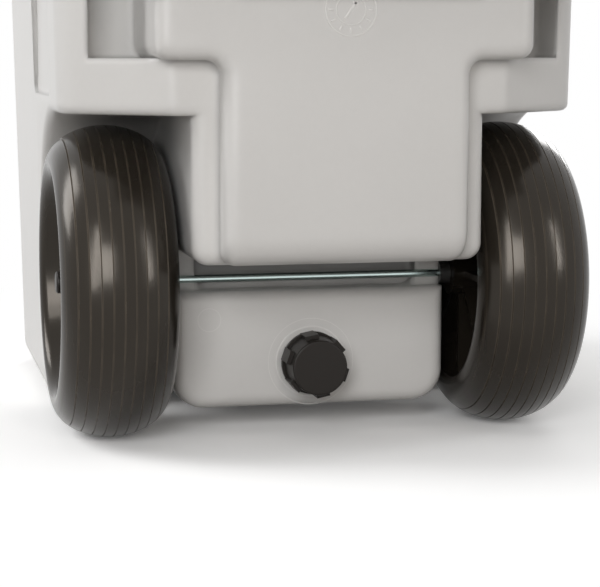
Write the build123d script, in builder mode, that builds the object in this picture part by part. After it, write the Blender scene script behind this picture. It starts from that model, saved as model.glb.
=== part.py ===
"""Insulated cooler on two wheels: moulded tub, hinged lid, tow and lift handles, drain.

X runs along the axle, -Y is the wheel end, +Y the tow end, and the floor is Z = 0.
Lengths are in millimetres. A reach is a distance from the axle along Y.
"""

import os
from math import asin, cos, degrees, radians, sqrt, tan

from build123d import *

# Wheels and axle
WHEEL_DIA = 254.0
WHEEL_WIDTH = 92.0
WHEEL_MID_X = 167.0
TREAD_DROP = 31.7
GROOVE_COUNT = 9
GROOVE_PITCH = 8.6
GROOVE_WIDTH = 0.9
GROOVE_DEPTH = 0.6
OUTER_RIM_R = 91.0
OUTER_DISH_R = 80.0
OUTER_LIP_R = 8.0
INNER_RIM_R = 88.0
INNER_DISH_R = 80.0
INNER_LIP_R = 5.0
WEB_THICK = 8.0
HUB_R = 18.5
HUB_OUTER_END = 32.0
HUB_INNER_END = 43.0
RIB_COUNT = 8
RIB_THICK = 5.0
RIB_OUTER_TOP = 26.0
RIB_INNER_TOP = 34.0
AXLE_DIA = 6.35
RUNNING_FIT = 0.08
PUSH_CAP_R = 9.0
PUSH_CAP_LENGTH = 7.0
WASHER_R = 11.0
WASHER_THICK = 1.6
SPACER_R = 9.0
PUSH_CAP_END = 2.0
SEAT_GAP = 0.3

# Body outline at the rim
RIM_Z = 440.0
BODY_FLOOR_Z = 5.0
BODY_HALF_WIDTH = 212.8
BODY_DRAFT = 1.15
FACE_REACH = 130.5
FACE_HALF = 132.0
FACE_SWEEP = 39.0
SHOULDER_R = 42.0
CREASE_R = 16.0
FAR_REACH = 436.0
FAR_CORNER_R = 48.0
FLOOR_EDGE_R = 18.0
SHELL_WALL = 5.0
SHELL_FLOOR = 9.0
SEAM_OFFSET = 2.0

# Wheel end of the body
ARCH_GAP = 11.0
FENDER_EDGE_R = 6.0
KEEL_HALF = 115.0
KEEL_RISE = 24.0
KEEL_CORNER_R = 13.0
KEEL_EDGE_R = 12.0
PAD_REACH = 155.0
PAD_HALF = 146.0
PAD_STEP_Z = 307.0
PAD_TOP_Z = 426.0
PAD_CORNER_R = 12.0
PAD_EDGE_R = 11.0
STEM_HALF = 95.0
STEM_RISE = 25.0
STEM_CURL_R = 24.0
RECESS_REACH = 34.0
RECESS_INSET = 24.8
RECESS_FLOOR_Z = 308.0
RECESS_TOP_Z = 422.0
RECESS_CORNER_R = 8.0
BLOCK_REACH = 20.0
BLOCK_BOTTOM_Z = 21.0
BLOCK_CORNER_R = 26.0
BLOCK_EDGE_R = 10.0
SLOT_HALF = 94.0
SLOT_DROP = 9.5
SLOT_DEPTH = 30.0
SLOT_CORNER_R = 12.0
WEB_REACH = 1.0

# Shallow panels in the long sides, each ending in a groove
PANEL_NEAR_REACH = 8.0
PANEL_FAR_REACH = 152.0
PANEL_LOW_Z = 277.0
PANEL_TOP_Z = 376.0
PANEL_CORNER_R = 10.0
PANEL_DEPTH = 2.6
PANEL_GROOVE_WIDTH = 8.0
PANEL_GROOVE_LOW_Z = 290.0
PANEL_GROOVE_DEPTH = 3.8

# Insulation and liner
LINER_WALL = 3.0
FOAM_GAP = 0.3
FLANGE_THICK = 4.0
CAVITY_INSET = 34.8
CAVITY_FAR_REACH = 400.0
CAVITY_FLOOR_Z = 31.5
CAVITY_CORNER_R = 14.0
SHELF_Z = 302.0
SHELF_REACH = 0.0
NOSE_HALF = 98.0
NOSE_REACH = 92.0
WELL_NEAR_REACH = 172.0
TROUGH_HALF = 80.0
TROUGH_NEAR_REACH = 22.0
TROUGH_CORNER_R = 14.0
FOAM_CORNER_R = 20.0
KEEL_FOAM_INSET = 30.0
NOSE_FOAM_HALF = 128.0

# Drain
DRAIN_Z = 58.0
SPOUT_R = 16.0
SPOUT_BORE_R = 11.0
SPOUT_REACH = 46.0
SPOUT_FLANGE_R = 24.0
SPOUT_FLANGE_THICK = 3.0
DRAIN_SEAL_THICK = 1.6
DRAIN_NUT_R = 22.5
DRAIN_NUT_THICK = 4.0
CAP_FACE_REACH = 56.0
CAP_FRONT_R = 22.5
CAP_SKIRT_R = 24.0
CAP_LUG_R = 26.0
CAP_LUG_COUNT = 6
CAP_LUG_TURN = 11.0
CAP_LUG_WIDTH = 11.0
CAP_LUG_LENGTH = 22.0
CAP_FLANGE_THICK = 4.0
CAP_WASHER_THICK = 1.5
CAP_SKIRT_GAP = 1.0
CAP_THREAD_GAP = 0.4
CAP_EDGE_R = 1.4
HOLE_GAP = 0.2

# Lid
LID_GAP = 2.0
LID_HEIGHT = 48.0
LID_OVERHANG = 3.0
LID_WALL = 4.0
LID_EDGE_R = 14.0
PLUG_DEPTH = 14.0
PLUG_GAP = 4.0
PAN_THICK = 3.0
GASKET_WIDTH = 8.0
GASKET_OFFSET = 5.0
TRAY_INSET = 42.0
TRAY_DEPTH = 2.0

# Fasteners
SCREW_R = 1.9
SCREW_HEAD_R = 3.8
SCREW_HEAD_H = 2.2
SCREW_BITE = 3.2
SCREW_HOLE_GAP = 0.05
SCREW_SLOT = 0.9

# Hinges and latches on the long sides
SEAT_PROUD = 1.0
SEAT_DEPTH = 8.0
SIDE_REACH = 14.2
HINGE_Y_SPREAD = 260.0
HINGE_HALF_LENGTH = 24.0
HINGE_MID_HALF = 12.0
HINGE_SIDE_GAP = 0.4
KNUCKLE_R = 5.5
HINGE_PIN_R = 2.5
LEAF_THICK = 3.0
LEAF_HEIGHT = 26.0
LEAF_DROP = 7.0
LEAF_ARM = 8.0
PIN_RIVET = 1.5
LEAF_SCREW_SPREAD = 30.0
LATCH_Y_SPREAD = 240.0
LATCH_HALF_WIDTH = 13.7
LATCH_PIN_R = 2.5
LATCH_HUB_R = 5.2
LATCH_THICK = 5.0
LATCH_LENGTH = 78.0
LATCH_BRACKET_HALF = 28.0
LATCH_EAR_THICK = 4.0
LATCH_PIN_RISE = 20.0
LATCH_BRACKET_HEIGHT = 28.0
LATCH_SCREW_SPREAD = 23.3
KEEPER_DEPTH = 4.8
KEEPER_HEIGHT = 9.0
KEEPER_HALF = 17.0
KEEPER_DROP = 28.0
LATCH_HOOK_HEIGHT = 7.0
LATCH_TAB_HEIGHT = 5.0
LATCH_TAB_R = 2.0

# Tow handle on the far end
TOW_PIVOT_Z = 345.0
TOW_HALF = 120.0
TOW_LENGTH = 178.0
TOW_TUBE_R = 8.0
TOW_BEND_R = 34.0
TOW_EYE_R = 11.0
TOW_EYE_HALF = 9.0
TOW_PIN_R = 4.0
TOW_GRIP_R = 13.0
TOW_GRIP_HALF = 68.0
TOW_BASE_THICK = 4.0
TOW_BASE_HALF = 30.0
TOW_BASE_HEIGHT = 44.0
TOW_EAR_THICK = 4.5
TOW_SCREW_SPREAD_X = 46.0
TOW_SCREW_SPREAD_Z = 28.0
EAR_GAP = 0.4
PIN_HEAD_R = 6.5
PIN_HEAD_H = 2.5
GRIP_EDGE_R = 3.0

# Lift handle on the wheel end
LIFT_PIVOT_Z = 408.0
LIFT_PIVOT_REACH = 122.0
LIFT_GRIP_Z = 370.0
LIFT_BAR_R = 9.0
LIFT_GRIP_R = 13.0
LIFT_GRIP_HALF = 92.0
LIFT_ARM_THICK = 10.0
LIFT_ARM_GAP = 3.0
LIFT_EYE_R = 12.0
LIFT_PIN_R = 4.0
LIFT_PIN_BITE = 10.0

# Foot pads under the far end
FOOT_R = 21.0
FOOT_HALF_SPREAD = 150.0
FOOT_REACH = 385.0
FOOT_RECESS_DEPTH = 3.0
FOOT_EDGE_R = 1.5

# Worked-out places
AXLE_Z = WHEEL_DIA / 2
AXLE_R = AXLE_DIA / 2
ARCH_R = WHEEL_DIA / 2 + ARCH_GAP
CEILING_Z = AXLE_Z + ARCH_R
KEEL_BOTTOM_Z = AXLE_Z + KEEL_RISE
STEM_BOTTOM_Z = AXLE_Z + STEM_RISE
SLOT_BOTTOM_Z = AXLE_Z - SLOT_DROP
LID_Z = RIM_Z + LID_GAP
CAVITY_HALF = BODY_HALF_WIDTH - CAVITY_INSET
RECESS_HALF = BODY_HALF_WIDTH - RECESS_INSET
LID_SIDE = BODY_HALF_WIDTH + LID_OVERHANG
SIDE_SEAT = BODY_HALF_WIDTH + SEAT_PROUD
FAR_SEAT_REACH = FAR_REACH + SEAT_PROUD
TOW_AXIS_REACH = FAR_SEAT_REACH + TOW_BASE_THICK + TOW_EYE_R + EAR_GAP
FAR_LIMIT = TOW_AXIS_REACH + TOW_GRIP_R
LIFT_GRIP_REACH = PAD_REACH + LIFT_GRIP_R + SEAT_GAP
NEAR_LIMIT = LIFT_GRIP_REACH + LIFT_GRIP_R
AXLE_Y = (NEAR_LIMIT - FAR_LIMIT) / 2
SIDE_LIMIT = LID_SIDE + SIDE_REACH
HINGE_X = SIDE_LIMIT - KNUCKLE_R
HINGE_Z = RIM_Z + LID_GAP / 2
LATCH_X = SIDE_LIMIT - LATCH_HUB_R
LATCH_PIN_Z = LID_Z + LATCH_PIN_RISE
MIDDLE_Y = AXLE_Y + (FAR_REACH - FACE_REACH) / 2
FOOT_GRIP = BODY_FLOOR_Z - FOOT_RECESS_DEPTH
FULL = 2 * (SIDE_LIMIT + FAR_LIMIT)
TOWARDS_LEFT = (Align.MAX, Align.CENTER, Align.CENTER)
TOWARDS_RIGHT = (Align.MIN, Align.CENTER, Align.CENTER)


def ahead(reach):
    """Y of a place that lies a reach from the axle towards the wheel end."""
    return AXLE_Y - reach


def behind(reach):
    """Y of a place that lies a reach from the axle towards the tow end."""
    return AXLE_Y + reach


def drafted(size, z):
    """A rim size taken down to height z along the body's draft."""
    return size - (RIM_Z - z) * tan(radians(BODY_DRAFT))


def end_plane(y):
    """Upright plane across the body at y, facing the wheel end."""
    return Plane(origin=(0, y, 0), x_dir=(1, 0, 0), z_dir=(0, -1, 0))


def facing(x, y, z, direction):
    """Place whose own Z points along direction."""
    return Plane(origin=(x, y, z), z_dir=direction).location


def body_outline(z, grow=0.0):
    """Plan of the body at height z, grown outwards all round."""
    sweep = (BODY_HALF_WIDTH - FACE_HALF) * tan(radians(FACE_SWEEP))
    front = ahead(FACE_REACH)
    half = [(FACE_HALF, front), (BODY_HALF_WIDTH, front + sweep), (BODY_HALF_WIDTH, behind(FAR_REACH))]
    other = [(-x, y) for x, y in reversed(half)]
    with BuildSketch(Plane.XY.offset(z)) as outline:
        Polygon(*half, *other, align=None)
        corners = outline.vertices().group_by(Axis.Y)
        fillet(corners[-1], FAR_CORNER_R)
        corners = outline.vertices().group_by(Axis.Y)
        fillet(corners[1], SHOULDER_R)
        corners = outline.vertices().group_by(Axis.Y)
        fillet(corners[0], CREASE_R)
        if grow:
            offset(amount=grow, kind=Kind.INTERSECTION)
    return outline.sketch


def slab(half, near, far, low, high, corner_r):
    """Upright block with rounded plan corners, between two Y places and two heights."""
    with BuildPart() as block:
        with BuildSketch(Plane.XY.offset(low)):
            with Locations((0, (near + far) / 2)):
                RectangleRounded(2 * half, far - near, corner_r)
        extrude(amount=high - low)
    return block.part


def tub(grow, top):
    """Stepped inside of the cooler, grown by a wall, from its floors up to top."""
    corner = CAVITY_CORNER_R + grow
    small = TROUGH_CORNER_R + grow
    far = behind(CAVITY_FAR_REACH) + grow
    shelf_near = ahead(SHELF_REACH) - grow
    well_near = behind(WELL_NEAR_REACH) - grow
    nose = slab(NOSE_HALF + grow, ahead(NOSE_REACH) - grow, far, SHELF_Z - grow, top, small)
    shelf = slab(CAVITY_HALF + grow, shelf_near, far, SHELF_Z - grow, top, corner)
    well = slab(CAVITY_HALF + grow, well_near, far, CAVITY_FLOOR_Z - grow, top, corner)
    trough_near = behind(TROUGH_NEAR_REACH) - grow
    trough = slab(TROUGH_HALF + grow, trough_near, far, CAVITY_FLOOR_Z - grow, top, small)
    with BuildPart() as inside:
        add(shelf)
        add(nose)
        add(well)
        add(trough)
    return inside.part


def mouth(z, grow):
    """Plan of the cavity's mouth at height z, grown outwards."""
    far = behind(CAVITY_FAR_REACH)
    shelf_length = CAVITY_FAR_REACH + SHELF_REACH + 2 * grow
    nose_length = CAVITY_FAR_REACH + NOSE_REACH + 2 * grow
    with BuildSketch(Plane.XY.offset(z)) as outline:
        with Locations((0, (ahead(SHELF_REACH) + far) / 2)):
            RectangleRounded(2 * (CAVITY_HALF + grow), shelf_length, CAVITY_CORNER_R + grow)
        with Locations((0, (ahead(NOSE_REACH) + far) / 2)):
            RectangleRounded(2 * (NOSE_HALF + grow), nose_length, TROUGH_CORNER_R + grow)
    return outline.sketch


def top_slabs(inset, low, high):
    """The two blocks that make up the upper foam space, between two heights."""
    wall = SHELL_WALL + inset
    half = drafted(BODY_HALF_WIDTH, CEILING_Z) - wall
    far = behind(drafted(FAR_REACH, CEILING_Z)) - wall
    face = ahead(drafted(FACE_REACH, KEEL_BOTTOM_Z)) + wall
    upper = slab(half, ahead(RECESS_REACH) + wall, far, low, high, FAR_CORNER_R)
    nose = slab(NOSE_FOAM_HALF - inset, face, far, low, high, FOAM_CORNER_R)
    return upper, nose


def foam_space(inset, top):
    """Space between shell and liner, inset from the shell's inner walls."""
    wall = SHELL_WALL + inset
    low_half = drafted(BODY_HALF_WIDTH, BODY_FLOOR_Z) - wall
    far_low = behind(drafted(FAR_REACH, BODY_FLOOR_Z)) - wall
    keel_half = KEEL_HALF - KEEL_FOAM_INSET - inset
    block_half = KEEL_HALF - BLOCK_CORNER_R - inset
    above_arch = CEILING_Z + wall
    corner = FOAM_CORNER_R
    arch_back = behind(ARCH_R) + wall
    slot_back = ahead(BLOCK_REACH) + SLOT_DEPTH + wall
    keel_top = KEEL_BOTTOM_Z + wall
    slot_low = SLOT_BOTTOM_Z - wall
    face = ahead(drafted(FACE_REACH, KEEL_BOTTOM_Z)) + wall
    block_low = BLOCK_BOTTOM_Z + wall
    floor = BODY_FLOOR_Z + SHELL_FLOOR + inset
    well = slab(low_half, arch_back, far_low, floor, above_arch + wall, FAR_CORNER_R)
    upper, nose = top_slabs(inset, above_arch, top)
    keel = slab(keel_half, face, far_low, keel_top, above_arch + wall, corner)
    middle = slab(keel_half, slot_back, far_low, slot_low - wall, keel_top + wall, corner)
    block = slab(block_half, ahead(BLOCK_REACH) + wall, far_low, block_low, slot_low, corner)
    with BuildPart() as space:
        add(well)
        add(upper)
        add(nose)
        add(keel)
        add(middle)
        add(block)
    return space.part


def cut_walls(piece, y, z):
    """The same walls, cut into shorter ones along an upright and a level plane."""
    with BuildPart() as walls:
        add(piece)
        split(bisect_by=Plane.XZ.offset(-y), keep=Keep.BOTH)
        split(bisect_by=Plane.XY.offset(z), keep=Keep.BOTH)
    return walls


def screw(grip):
    """Cross-headed screw whose head seats at its own Z = 0, for a plate of thickness grip."""
    with BuildPart() as piece:
        Cylinder(SCREW_HEAD_R, SCREW_HEAD_H, align=(Align.CENTER, Align.CENTER, Align.MIN))
        fillet(piece.edges().sort_by(Axis.Z)[-1], SCREW_HEAD_H * 0.4)
        Cylinder(SCREW_R, grip + SCREW_BITE, align=(Align.CENTER, Align.CENTER, Align.MAX))
        with Locations((0, 0, SCREW_HEAD_H)):
            Box(SCREW_HEAD_R, SCREW_SLOT, SCREW_HEAD_H, mode=Mode.SUBTRACT)
            Box(SCREW_SLOT, SCREW_HEAD_R, SCREW_HEAD_H, mode=Mode.SUBTRACT)
    return piece.part


def tube(outer_r, inner_r, length):
    """Round sleeve standing on its own Z = 0."""
    with BuildPart() as piece:
        Cylinder(outer_r, length, align=(Align.CENTER, Align.CENTER, Align.MIN))
        Cylinder(inner_r, length, align=(Align.CENTER, Align.CENTER, Align.MIN), mode=Mode.SUBTRACT)
    return piece.part


def save(piece, name):
    """Label a finished piece and write it."""
    piece.part.label = name
    export_step(piece.part, f"parts/{name}.step")


os.makedirs("parts", exist_ok=True)

# Screw places, shared by the screws and by the holes they go into
hinge_ys = [MIDDLE_Y - HINGE_Y_SPREAD / 2, MIDDLE_Y + HINGE_Y_SPREAD / 2]
latch_ys = [MIDDLE_Y - LATCH_Y_SPREAD / 2, MIDDLE_Y + LATCH_Y_SPREAD / 2]
side_names = ["front", "rear"]
leaf_screw_ys = [y + s * LEAF_SCREW_SPREAD / 2 for y in hinge_ys for s in (-1, 1)]
latch_screw_ys = [y + s * LATCH_SCREW_SPREAD for y in latch_ys for s in (-1, 1)]
body_leaf_top = HINGE_Z - LEAF_DROP
body_leaf_mid = body_leaf_top - LEAF_HEIGHT / 2
lid_leaf_low = HINGE_Z + LEAF_DROP
lid_leaf_mid = lid_leaf_low + LEAF_HEIGHT / 2
keeper_mid = RIM_Z - KEEPER_DROP
body_leaf_spots = [facing(SIDE_SEAT + LEAF_THICK, y, body_leaf_mid, (1, 0, 0)) for y in leaf_screw_ys]
lid_leaf_spots = [facing(LID_SIDE + LEAF_THICK, y, lid_leaf_mid, (1, 0, 0)) for y in leaf_screw_ys]
keeper_spots = [facing(-SIDE_SEAT - LEAF_THICK, y, keeper_mid, (-1, 0, 0)) for y in latch_screw_ys]
bracket_spots = [facing(-LID_SIDE - LEAF_THICK, y, LATCH_PIN_Z, (-1, 0, 0)) for y in latch_screw_ys]
tow_spots = [
    facing(
        side * TOW_HALF + across * TOW_SCREW_SPREAD_X / 2,
        behind(FAR_SEAT_REACH + TOW_BASE_THICK),
        TOW_PIVOT_Z + rise * TOW_SCREW_SPREAD_Z / 2,
        (0, 1, 0),
    )
    for side in (-1, 1)
    for across in (-1, 1)
    for rise in (-1, 1)
]
foot_spots = [
    facing(side * FOOT_HALF_SPREAD, behind(FOOT_REACH), FOOT_RECESS_DEPTH, (0, 0, -1)) for side in (-1, 1)
]
lift_spots = [
    facing(side * PAD_HALF, ahead(LIFT_PIVOT_REACH), LIFT_PIVOT_Z, (side, 0, 0)) for side in (-1, 1)
]
drain_place = facing(0, ahead(BLOCK_REACH), DRAIN_Z, (0, -1, 0))

# Keel between the wheels, above the axle slot
with BuildPart() as keel:
    with BuildSketch(end_plane(ahead(drafted(FACE_REACH, CEILING_Z)))) as keel_front:
        with Locations((0, (KEEL_BOTTOM_Z + RECESS_FLOOR_Z) / 2)):
            Rectangle(2 * KEEL_HALF, RECESS_FLOOR_Z - KEEL_BOTTOM_Z)
        fillet(keel_front.vertices().group_by(Axis.Y)[0], KEEL_CORNER_R)
    extrude(amount=-(ARCH_R + drafted(FACE_REACH, CEILING_Z) + SHELL_WALL))
    keel_face = keel.faces().sort_by(Axis.Y)[0]
    top_edge = keel_face.edges().sort_by(Axis.Z)[-1]
    fillet([edge for edge in keel_face.edges() if edge != top_edge], KEEL_EDGE_R)

# Drain panel below the slot, with the webs that hold the axle
with BuildPart() as drain_block:
    with BuildSketch(end_plane(ahead(BLOCK_REACH))) as block_front:
        with Locations((0, (BLOCK_BOTTOM_Z + KEEL_BOTTOM_Z + KEEL_CORNER_R) / 2)):
            Rectangle(2 * KEEL_HALF, KEEL_BOTTOM_Z + KEEL_CORNER_R - BLOCK_BOTTOM_Z)
        fillet(block_front.vertices().group_by(Axis.Y)[0], BLOCK_CORNER_R)
    extrude(amount=-(ARCH_R + BLOCK_REACH + SHELL_WALL))
    with Locations((0, ahead(WEB_REACH), SLOT_BOTTOM_Z)):
        Box(FULL, FULL, FULL, align=(Align.CENTER, Align.MAX, Align.MIN), mode=Mode.SUBTRACT)
    fillet(drain_block.faces().sort_by(Axis.Y)[0].edges(), BLOCK_EDGE_R)

# Raised T-shaped pad on the wheel end
with BuildPart() as pad:
    with BuildSketch(end_plane(ahead(PAD_REACH))) as pad_front:
        with Locations((0, (PAD_STEP_Z + PAD_TOP_Z) / 2)):
            Rectangle(2 * PAD_HALF, PAD_TOP_Z - PAD_STEP_Z)
        with Locations((0, (STEM_BOTTOM_Z + PAD_STEP_Z) / 2)):
            Rectangle(2 * STEM_HALF, PAD_STEP_Z - STEM_BOTTOM_Z)
        wide_corners = pad_front.vertices().filter_by_position(Axis.Y, PAD_STEP_Z - 1, PAD_TOP_Z + 1)
        fillet(wide_corners, PAD_CORNER_R)
    extrude(amount=RECESS_REACH - PAD_REACH)
    fillet(pad.faces().sort_by(Axis.Y)[0].edges().sort_by(Axis.Z)[0], STEM_CURL_R)
    fillet(pad.faces().sort_by(Axis.Y)[0].edges().sort_by(Axis.Z)[1:], PAD_EDGE_R)

# Outer shell
with BuildPart() as outer_shell:
    add(body_outline(RIM_Z))
    extrude(amount=BODY_FLOOR_Z - RIM_Z, taper=BODY_DRAFT)
    with BuildSketch(Plane.YZ):
        with BuildLine():
            Polyline(
                (AXLE_Y, CEILING_Z),
                (ahead(FULL), CEILING_Z),
                (ahead(FULL), -CEILING_Z),
                (behind(ARCH_R), -CEILING_Z),
                (behind(ARCH_R), AXLE_Z),
            )
            CenterArc((AXLE_Y, AXLE_Z), ARCH_R, 0, 90)
        make_face()
    extrude(amount=FULL, both=True, mode=Mode.SUBTRACT)
    level_faces = outer_shell.faces().filter_by(Axis.Z)
    ceiling = level_faces.sort_by(lambda face: abs(face.center().Z - CEILING_Z))[0]
    fender_edges = [edge for edge in ceiling.edges() if edge.center().Y < AXLE_Y - 1]
    fillet(fender_edges, FENDER_EDGE_R)
    floor_edges = outer_shell.faces().sort_by(Axis.Z)[0].edges()
    fillet(floor_edges, FLOOR_EDGE_R)
    for side in (-1, 1):
        with BuildSketch(Plane.XY.offset(RECESS_FLOOR_Z)):
            with Locations((side * (RECESS_HALF + KEEL_HALF) / 2, ahead(RECESS_REACH) - FULL / 2)):
                RectangleRounded(RECESS_HALF - KEEL_HALF, FULL, RECESS_CORNER_R)
        extrude(amount=RECESS_TOP_Z - RECESS_FLOOR_Z, mode=Mode.SUBTRACT)
    side_x = drafted(BODY_HALF_WIDTH, PANEL_LOW_Z)
    panel_middle = behind((PANEL_NEAR_REACH + PANEL_FAR_REACH) / 2)
    groove_middle = behind(PANEL_FAR_REACH - PANEL_GROOVE_WIDTH / 2)
    for side in (-1, 1):
        with BuildSketch(Plane.YZ.offset(side * (side_x - PANEL_DEPTH))):
            with Locations((panel_middle, (PANEL_LOW_Z + PANEL_TOP_Z) / 2)):
                RectangleRounded(
                    PANEL_FAR_REACH - PANEL_NEAR_REACH,
                    PANEL_TOP_Z - PANEL_LOW_Z,
                    PANEL_CORNER_R,
                )
        extrude(amount=side * FULL, mode=Mode.SUBTRACT)
        with BuildSketch(Plane.YZ.offset(side * (side_x - PANEL_GROOVE_DEPTH))):
            with Locations((groove_middle, (PANEL_GROOVE_LOW_Z + PANEL_TOP_Z) / 2)):
                SlotOverall(PANEL_TOP_Z - PANEL_GROOVE_LOW_Z, PANEL_GROOVE_WIDTH, rotation=90)
        extrude(amount=side * FULL, mode=Mode.SUBTRACT)
    add(keel)
    add(drain_block)
    add(pad)
    with BuildSketch(end_plane(ahead(BLOCK_REACH))):
        with Locations((0, (SLOT_BOTTOM_Z + KEEL_BOTTOM_Z) / 2)):
            RectangleRounded(2 * SLOT_HALF, KEEL_BOTTOM_Z - SLOT_BOTTOM_Z, SLOT_CORNER_R)
    extrude(amount=-SLOT_DEPTH, mode=Mode.SUBTRACT)
    for y in hinge_ys:
        with Locations((SIDE_SEAT, y, body_leaf_mid)):
            Box(SEAT_DEPTH, 2 * HINGE_HALF_LENGTH, LEAF_HEIGHT, align=TOWARDS_LEFT)
    for y in latch_ys:
        with Locations((-SIDE_SEAT, y, keeper_mid)):
            Box(SEAT_DEPTH, 2 * LATCH_BRACKET_HALF, LEAF_HEIGHT, align=TOWARDS_RIGHT)
    for side in (-1, 1):
        with Locations((side * TOW_HALF, behind(FAR_SEAT_REACH), TOW_PIVOT_Z)):
            Box(
                2 * TOW_BASE_HALF,
                SEAT_DEPTH,
                TOW_BASE_HEIGHT,
                align=(Align.CENTER, Align.MAX, Align.CENTER),
            )
    add(foam_space(0.0, RIM_Z + SHELL_WALL), mode=Mode.SUBTRACT)
    with Locations(facing(0, AXLE_Y, AXLE_Z, (1, 0, 0))):
        Cylinder(AXLE_R + RUNNING_FIT, 3 * KEEL_HALF, mode=Mode.SUBTRACT)
    with Locations(drain_place):
        Cylinder(SPOUT_R + HOLE_GAP, 2 * BLOCK_REACH, mode=Mode.SUBTRACT)
    with Locations(*lift_spots):
        Cylinder(LIFT_PIN_R + SCREW_HOLE_GAP, 2 * LIFT_PIN_BITE, mode=Mode.SUBTRACT)
    with Locations(*body_leaf_spots, *keeper_spots):
        Cylinder(SCREW_R + SCREW_HOLE_GAP, 2 * (LEAF_THICK + SCREW_BITE), mode=Mode.SUBTRACT)
    with Locations(*tow_spots):
        Cylinder(SCREW_R + SCREW_HOLE_GAP, 2 * (TOW_BASE_THICK + SCREW_BITE), mode=Mode.SUBTRACT)
    with Locations(*foot_spots):
        Cylinder(SCREW_R + SCREW_HOLE_GAP, 2 * (FOOT_GRIP + SCREW_BITE), mode=Mode.SUBTRACT)
seam_y = behind(ARCH_R + SHELL_WALL + SEAM_OFFSET)
save(cut_walls(outer_shell, seam_y, CEILING_Z + SHELL_WALL + SEAM_OFFSET), "outer_shell")

# Liner tub with the flange that closes the top of the walls
flange_upper, flange_nose = top_slabs(FOAM_GAP, RIM_Z - FLANGE_THICK, RIM_Z)
with BuildPart() as inner_liner:
    add(tub(LINER_WALL, RIM_Z - FLANGE_THICK / 2))
    add(flange_upper)
    add(flange_nose)
    add(tub(0.0, RIM_Z + FLANGE_THICK), mode=Mode.SUBTRACT)
    with Locations(drain_place):
        Cylinder(SPOUT_R + HOLE_GAP, 2 * (BLOCK_REACH + TROUGH_NEAR_REACH + LINER_WALL), mode=Mode.SUBTRACT)
save(cut_walls(inner_liner, behind(WELL_NEAR_REACH), SHELF_Z), "inner_liner")

with BuildPart() as insulation_foam:
    add(foam_space(FOAM_GAP, RIM_Z - FLANGE_THICK - FOAM_GAP))
    add(tub(LINER_WALL + FOAM_GAP, RIM_Z), mode=Mode.SUBTRACT)
    with Locations(drain_place):
        Cylinder(SPOUT_R + HOLE_GAP, 2 * (BLOCK_REACH + TROUGH_NEAR_REACH), mode=Mode.SUBTRACT)
save(insulation_foam, "insulation_foam")

# Drain: spout through the wall, inner seal, outer nut, cap and its washer
spout_inside = BLOCK_REACH + TROUGH_NEAR_REACH + DRAIN_SEAL_THICK
spout_outside = SPOUT_REACH - BLOCK_REACH
spout_tube = tube(SPOUT_R, SPOUT_BORE_R, spout_inside + spout_outside)
spout_flange = tube(SPOUT_FLANGE_R, SPOUT_BORE_R, SPOUT_FLANGE_THICK)
with BuildPart() as drain_spout:
    with Locations(drain_place):
        with Locations((0, 0, -spout_inside)):
            add(spout_tube)
        with Locations((0, 0, -spout_inside - SPOUT_FLANGE_THICK)):
            add(spout_flange)
save(drain_spout, "drain_spout")

seal_ring = tube(SPOUT_FLANGE_R - SEAT_GAP, SPOUT_R + HOLE_GAP, DRAIN_SEAL_THICK)
with BuildPart() as drain_seal:
    with Locations(drain_place):
        with Locations((0, 0, -spout_inside)):
            add(seal_ring)
save(drain_seal, "drain_seal")

with BuildPart() as drain_nut:
    with BuildSketch(Plane(drain_place)):
        RegularPolygon(DRAIN_NUT_R, 6)
        Circle(SPOUT_R + HOLE_GAP, mode=Mode.SUBTRACT)
    extrude(amount=DRAIN_NUT_THICK)
save(drain_nut, "drain_nut")

cap_low = DRAIN_NUT_THICK + CAP_SKIRT_GAP
cap_high = CAP_FACE_REACH - BLOCK_REACH
cap_bore_top = spout_outside + 2 * SEAT_GAP + CAP_WASHER_THICK
with BuildPart() as cap_body:
    Cone(CAP_SKIRT_R, CAP_FRONT_R, cap_high - cap_low, align=(Align.CENTER, Align.CENTER, Align.MIN))
    Cylinder(CAP_LUG_R, CAP_FLANGE_THICK, align=(Align.CENTER, Align.CENTER, Align.MIN))
    with PolarLocations(CAP_LUG_R / 2, CAP_LUG_COUNT, start_angle=CAP_LUG_TURN):
        Box(CAP_LUG_R, CAP_LUG_WIDTH, CAP_LUG_LENGTH, align=(Align.CENTER, Align.CENTER, Align.MIN))
    fillet(cap_body.faces().sort_by(Axis.Z)[-1].edges(), CAP_EDGE_R)
    Cylinder(
        SPOUT_R + CAP_THREAD_GAP,
        cap_bore_top - cap_low,
        align=(Align.CENTER, Align.CENTER, Align.MIN),
        mode=Mode.SUBTRACT,
    )
with BuildPart() as drain_cap:
    with Locations(drain_place):
        with Locations((0, 0, cap_low)):
            add(cap_body.part)
save(drain_cap, "drain_cap")

with BuildPart() as drain_cap_washer:
    with Locations(drain_place):
        with Locations((0, 0, spout_outside + SEAT_GAP)):
            Cylinder(SPOUT_R - SEAT_GAP, CAP_WASHER_THICK, align=(Align.CENTER, Align.CENTER, Align.MIN))
save(drain_cap_washer, "drain_cap_washer")

# Axle with its spacers, washers and push-on caps
washer_x = WHEEL_MID_X + HUB_OUTER_END + SEAT_GAP
push_cap_x = washer_x + WASHER_THICK
spacer_length = WHEEL_MID_X - HUB_INNER_END - SEAT_GAP - KEEL_HALF
with BuildPart() as axle_rod:
    with Locations(facing(0, AXLE_Y, AXLE_Z, (1, 0, 0))):
        Cylinder(AXLE_R, 2 * (push_cap_x + PUSH_CAP_LENGTH - PUSH_CAP_END))
save(axle_rod, "axle_rod")

spacer = tube(SPACER_R, AXLE_R + RUNNING_FIT, spacer_length)
with BuildPart() as axle_spacers:
    for side in (-1, 1):
        with Locations(facing(side * KEEL_HALF, AXLE_Y, AXLE_Z, (side, 0, 0))):
            add(spacer)
save(axle_spacers, "axle_spacers")

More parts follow.
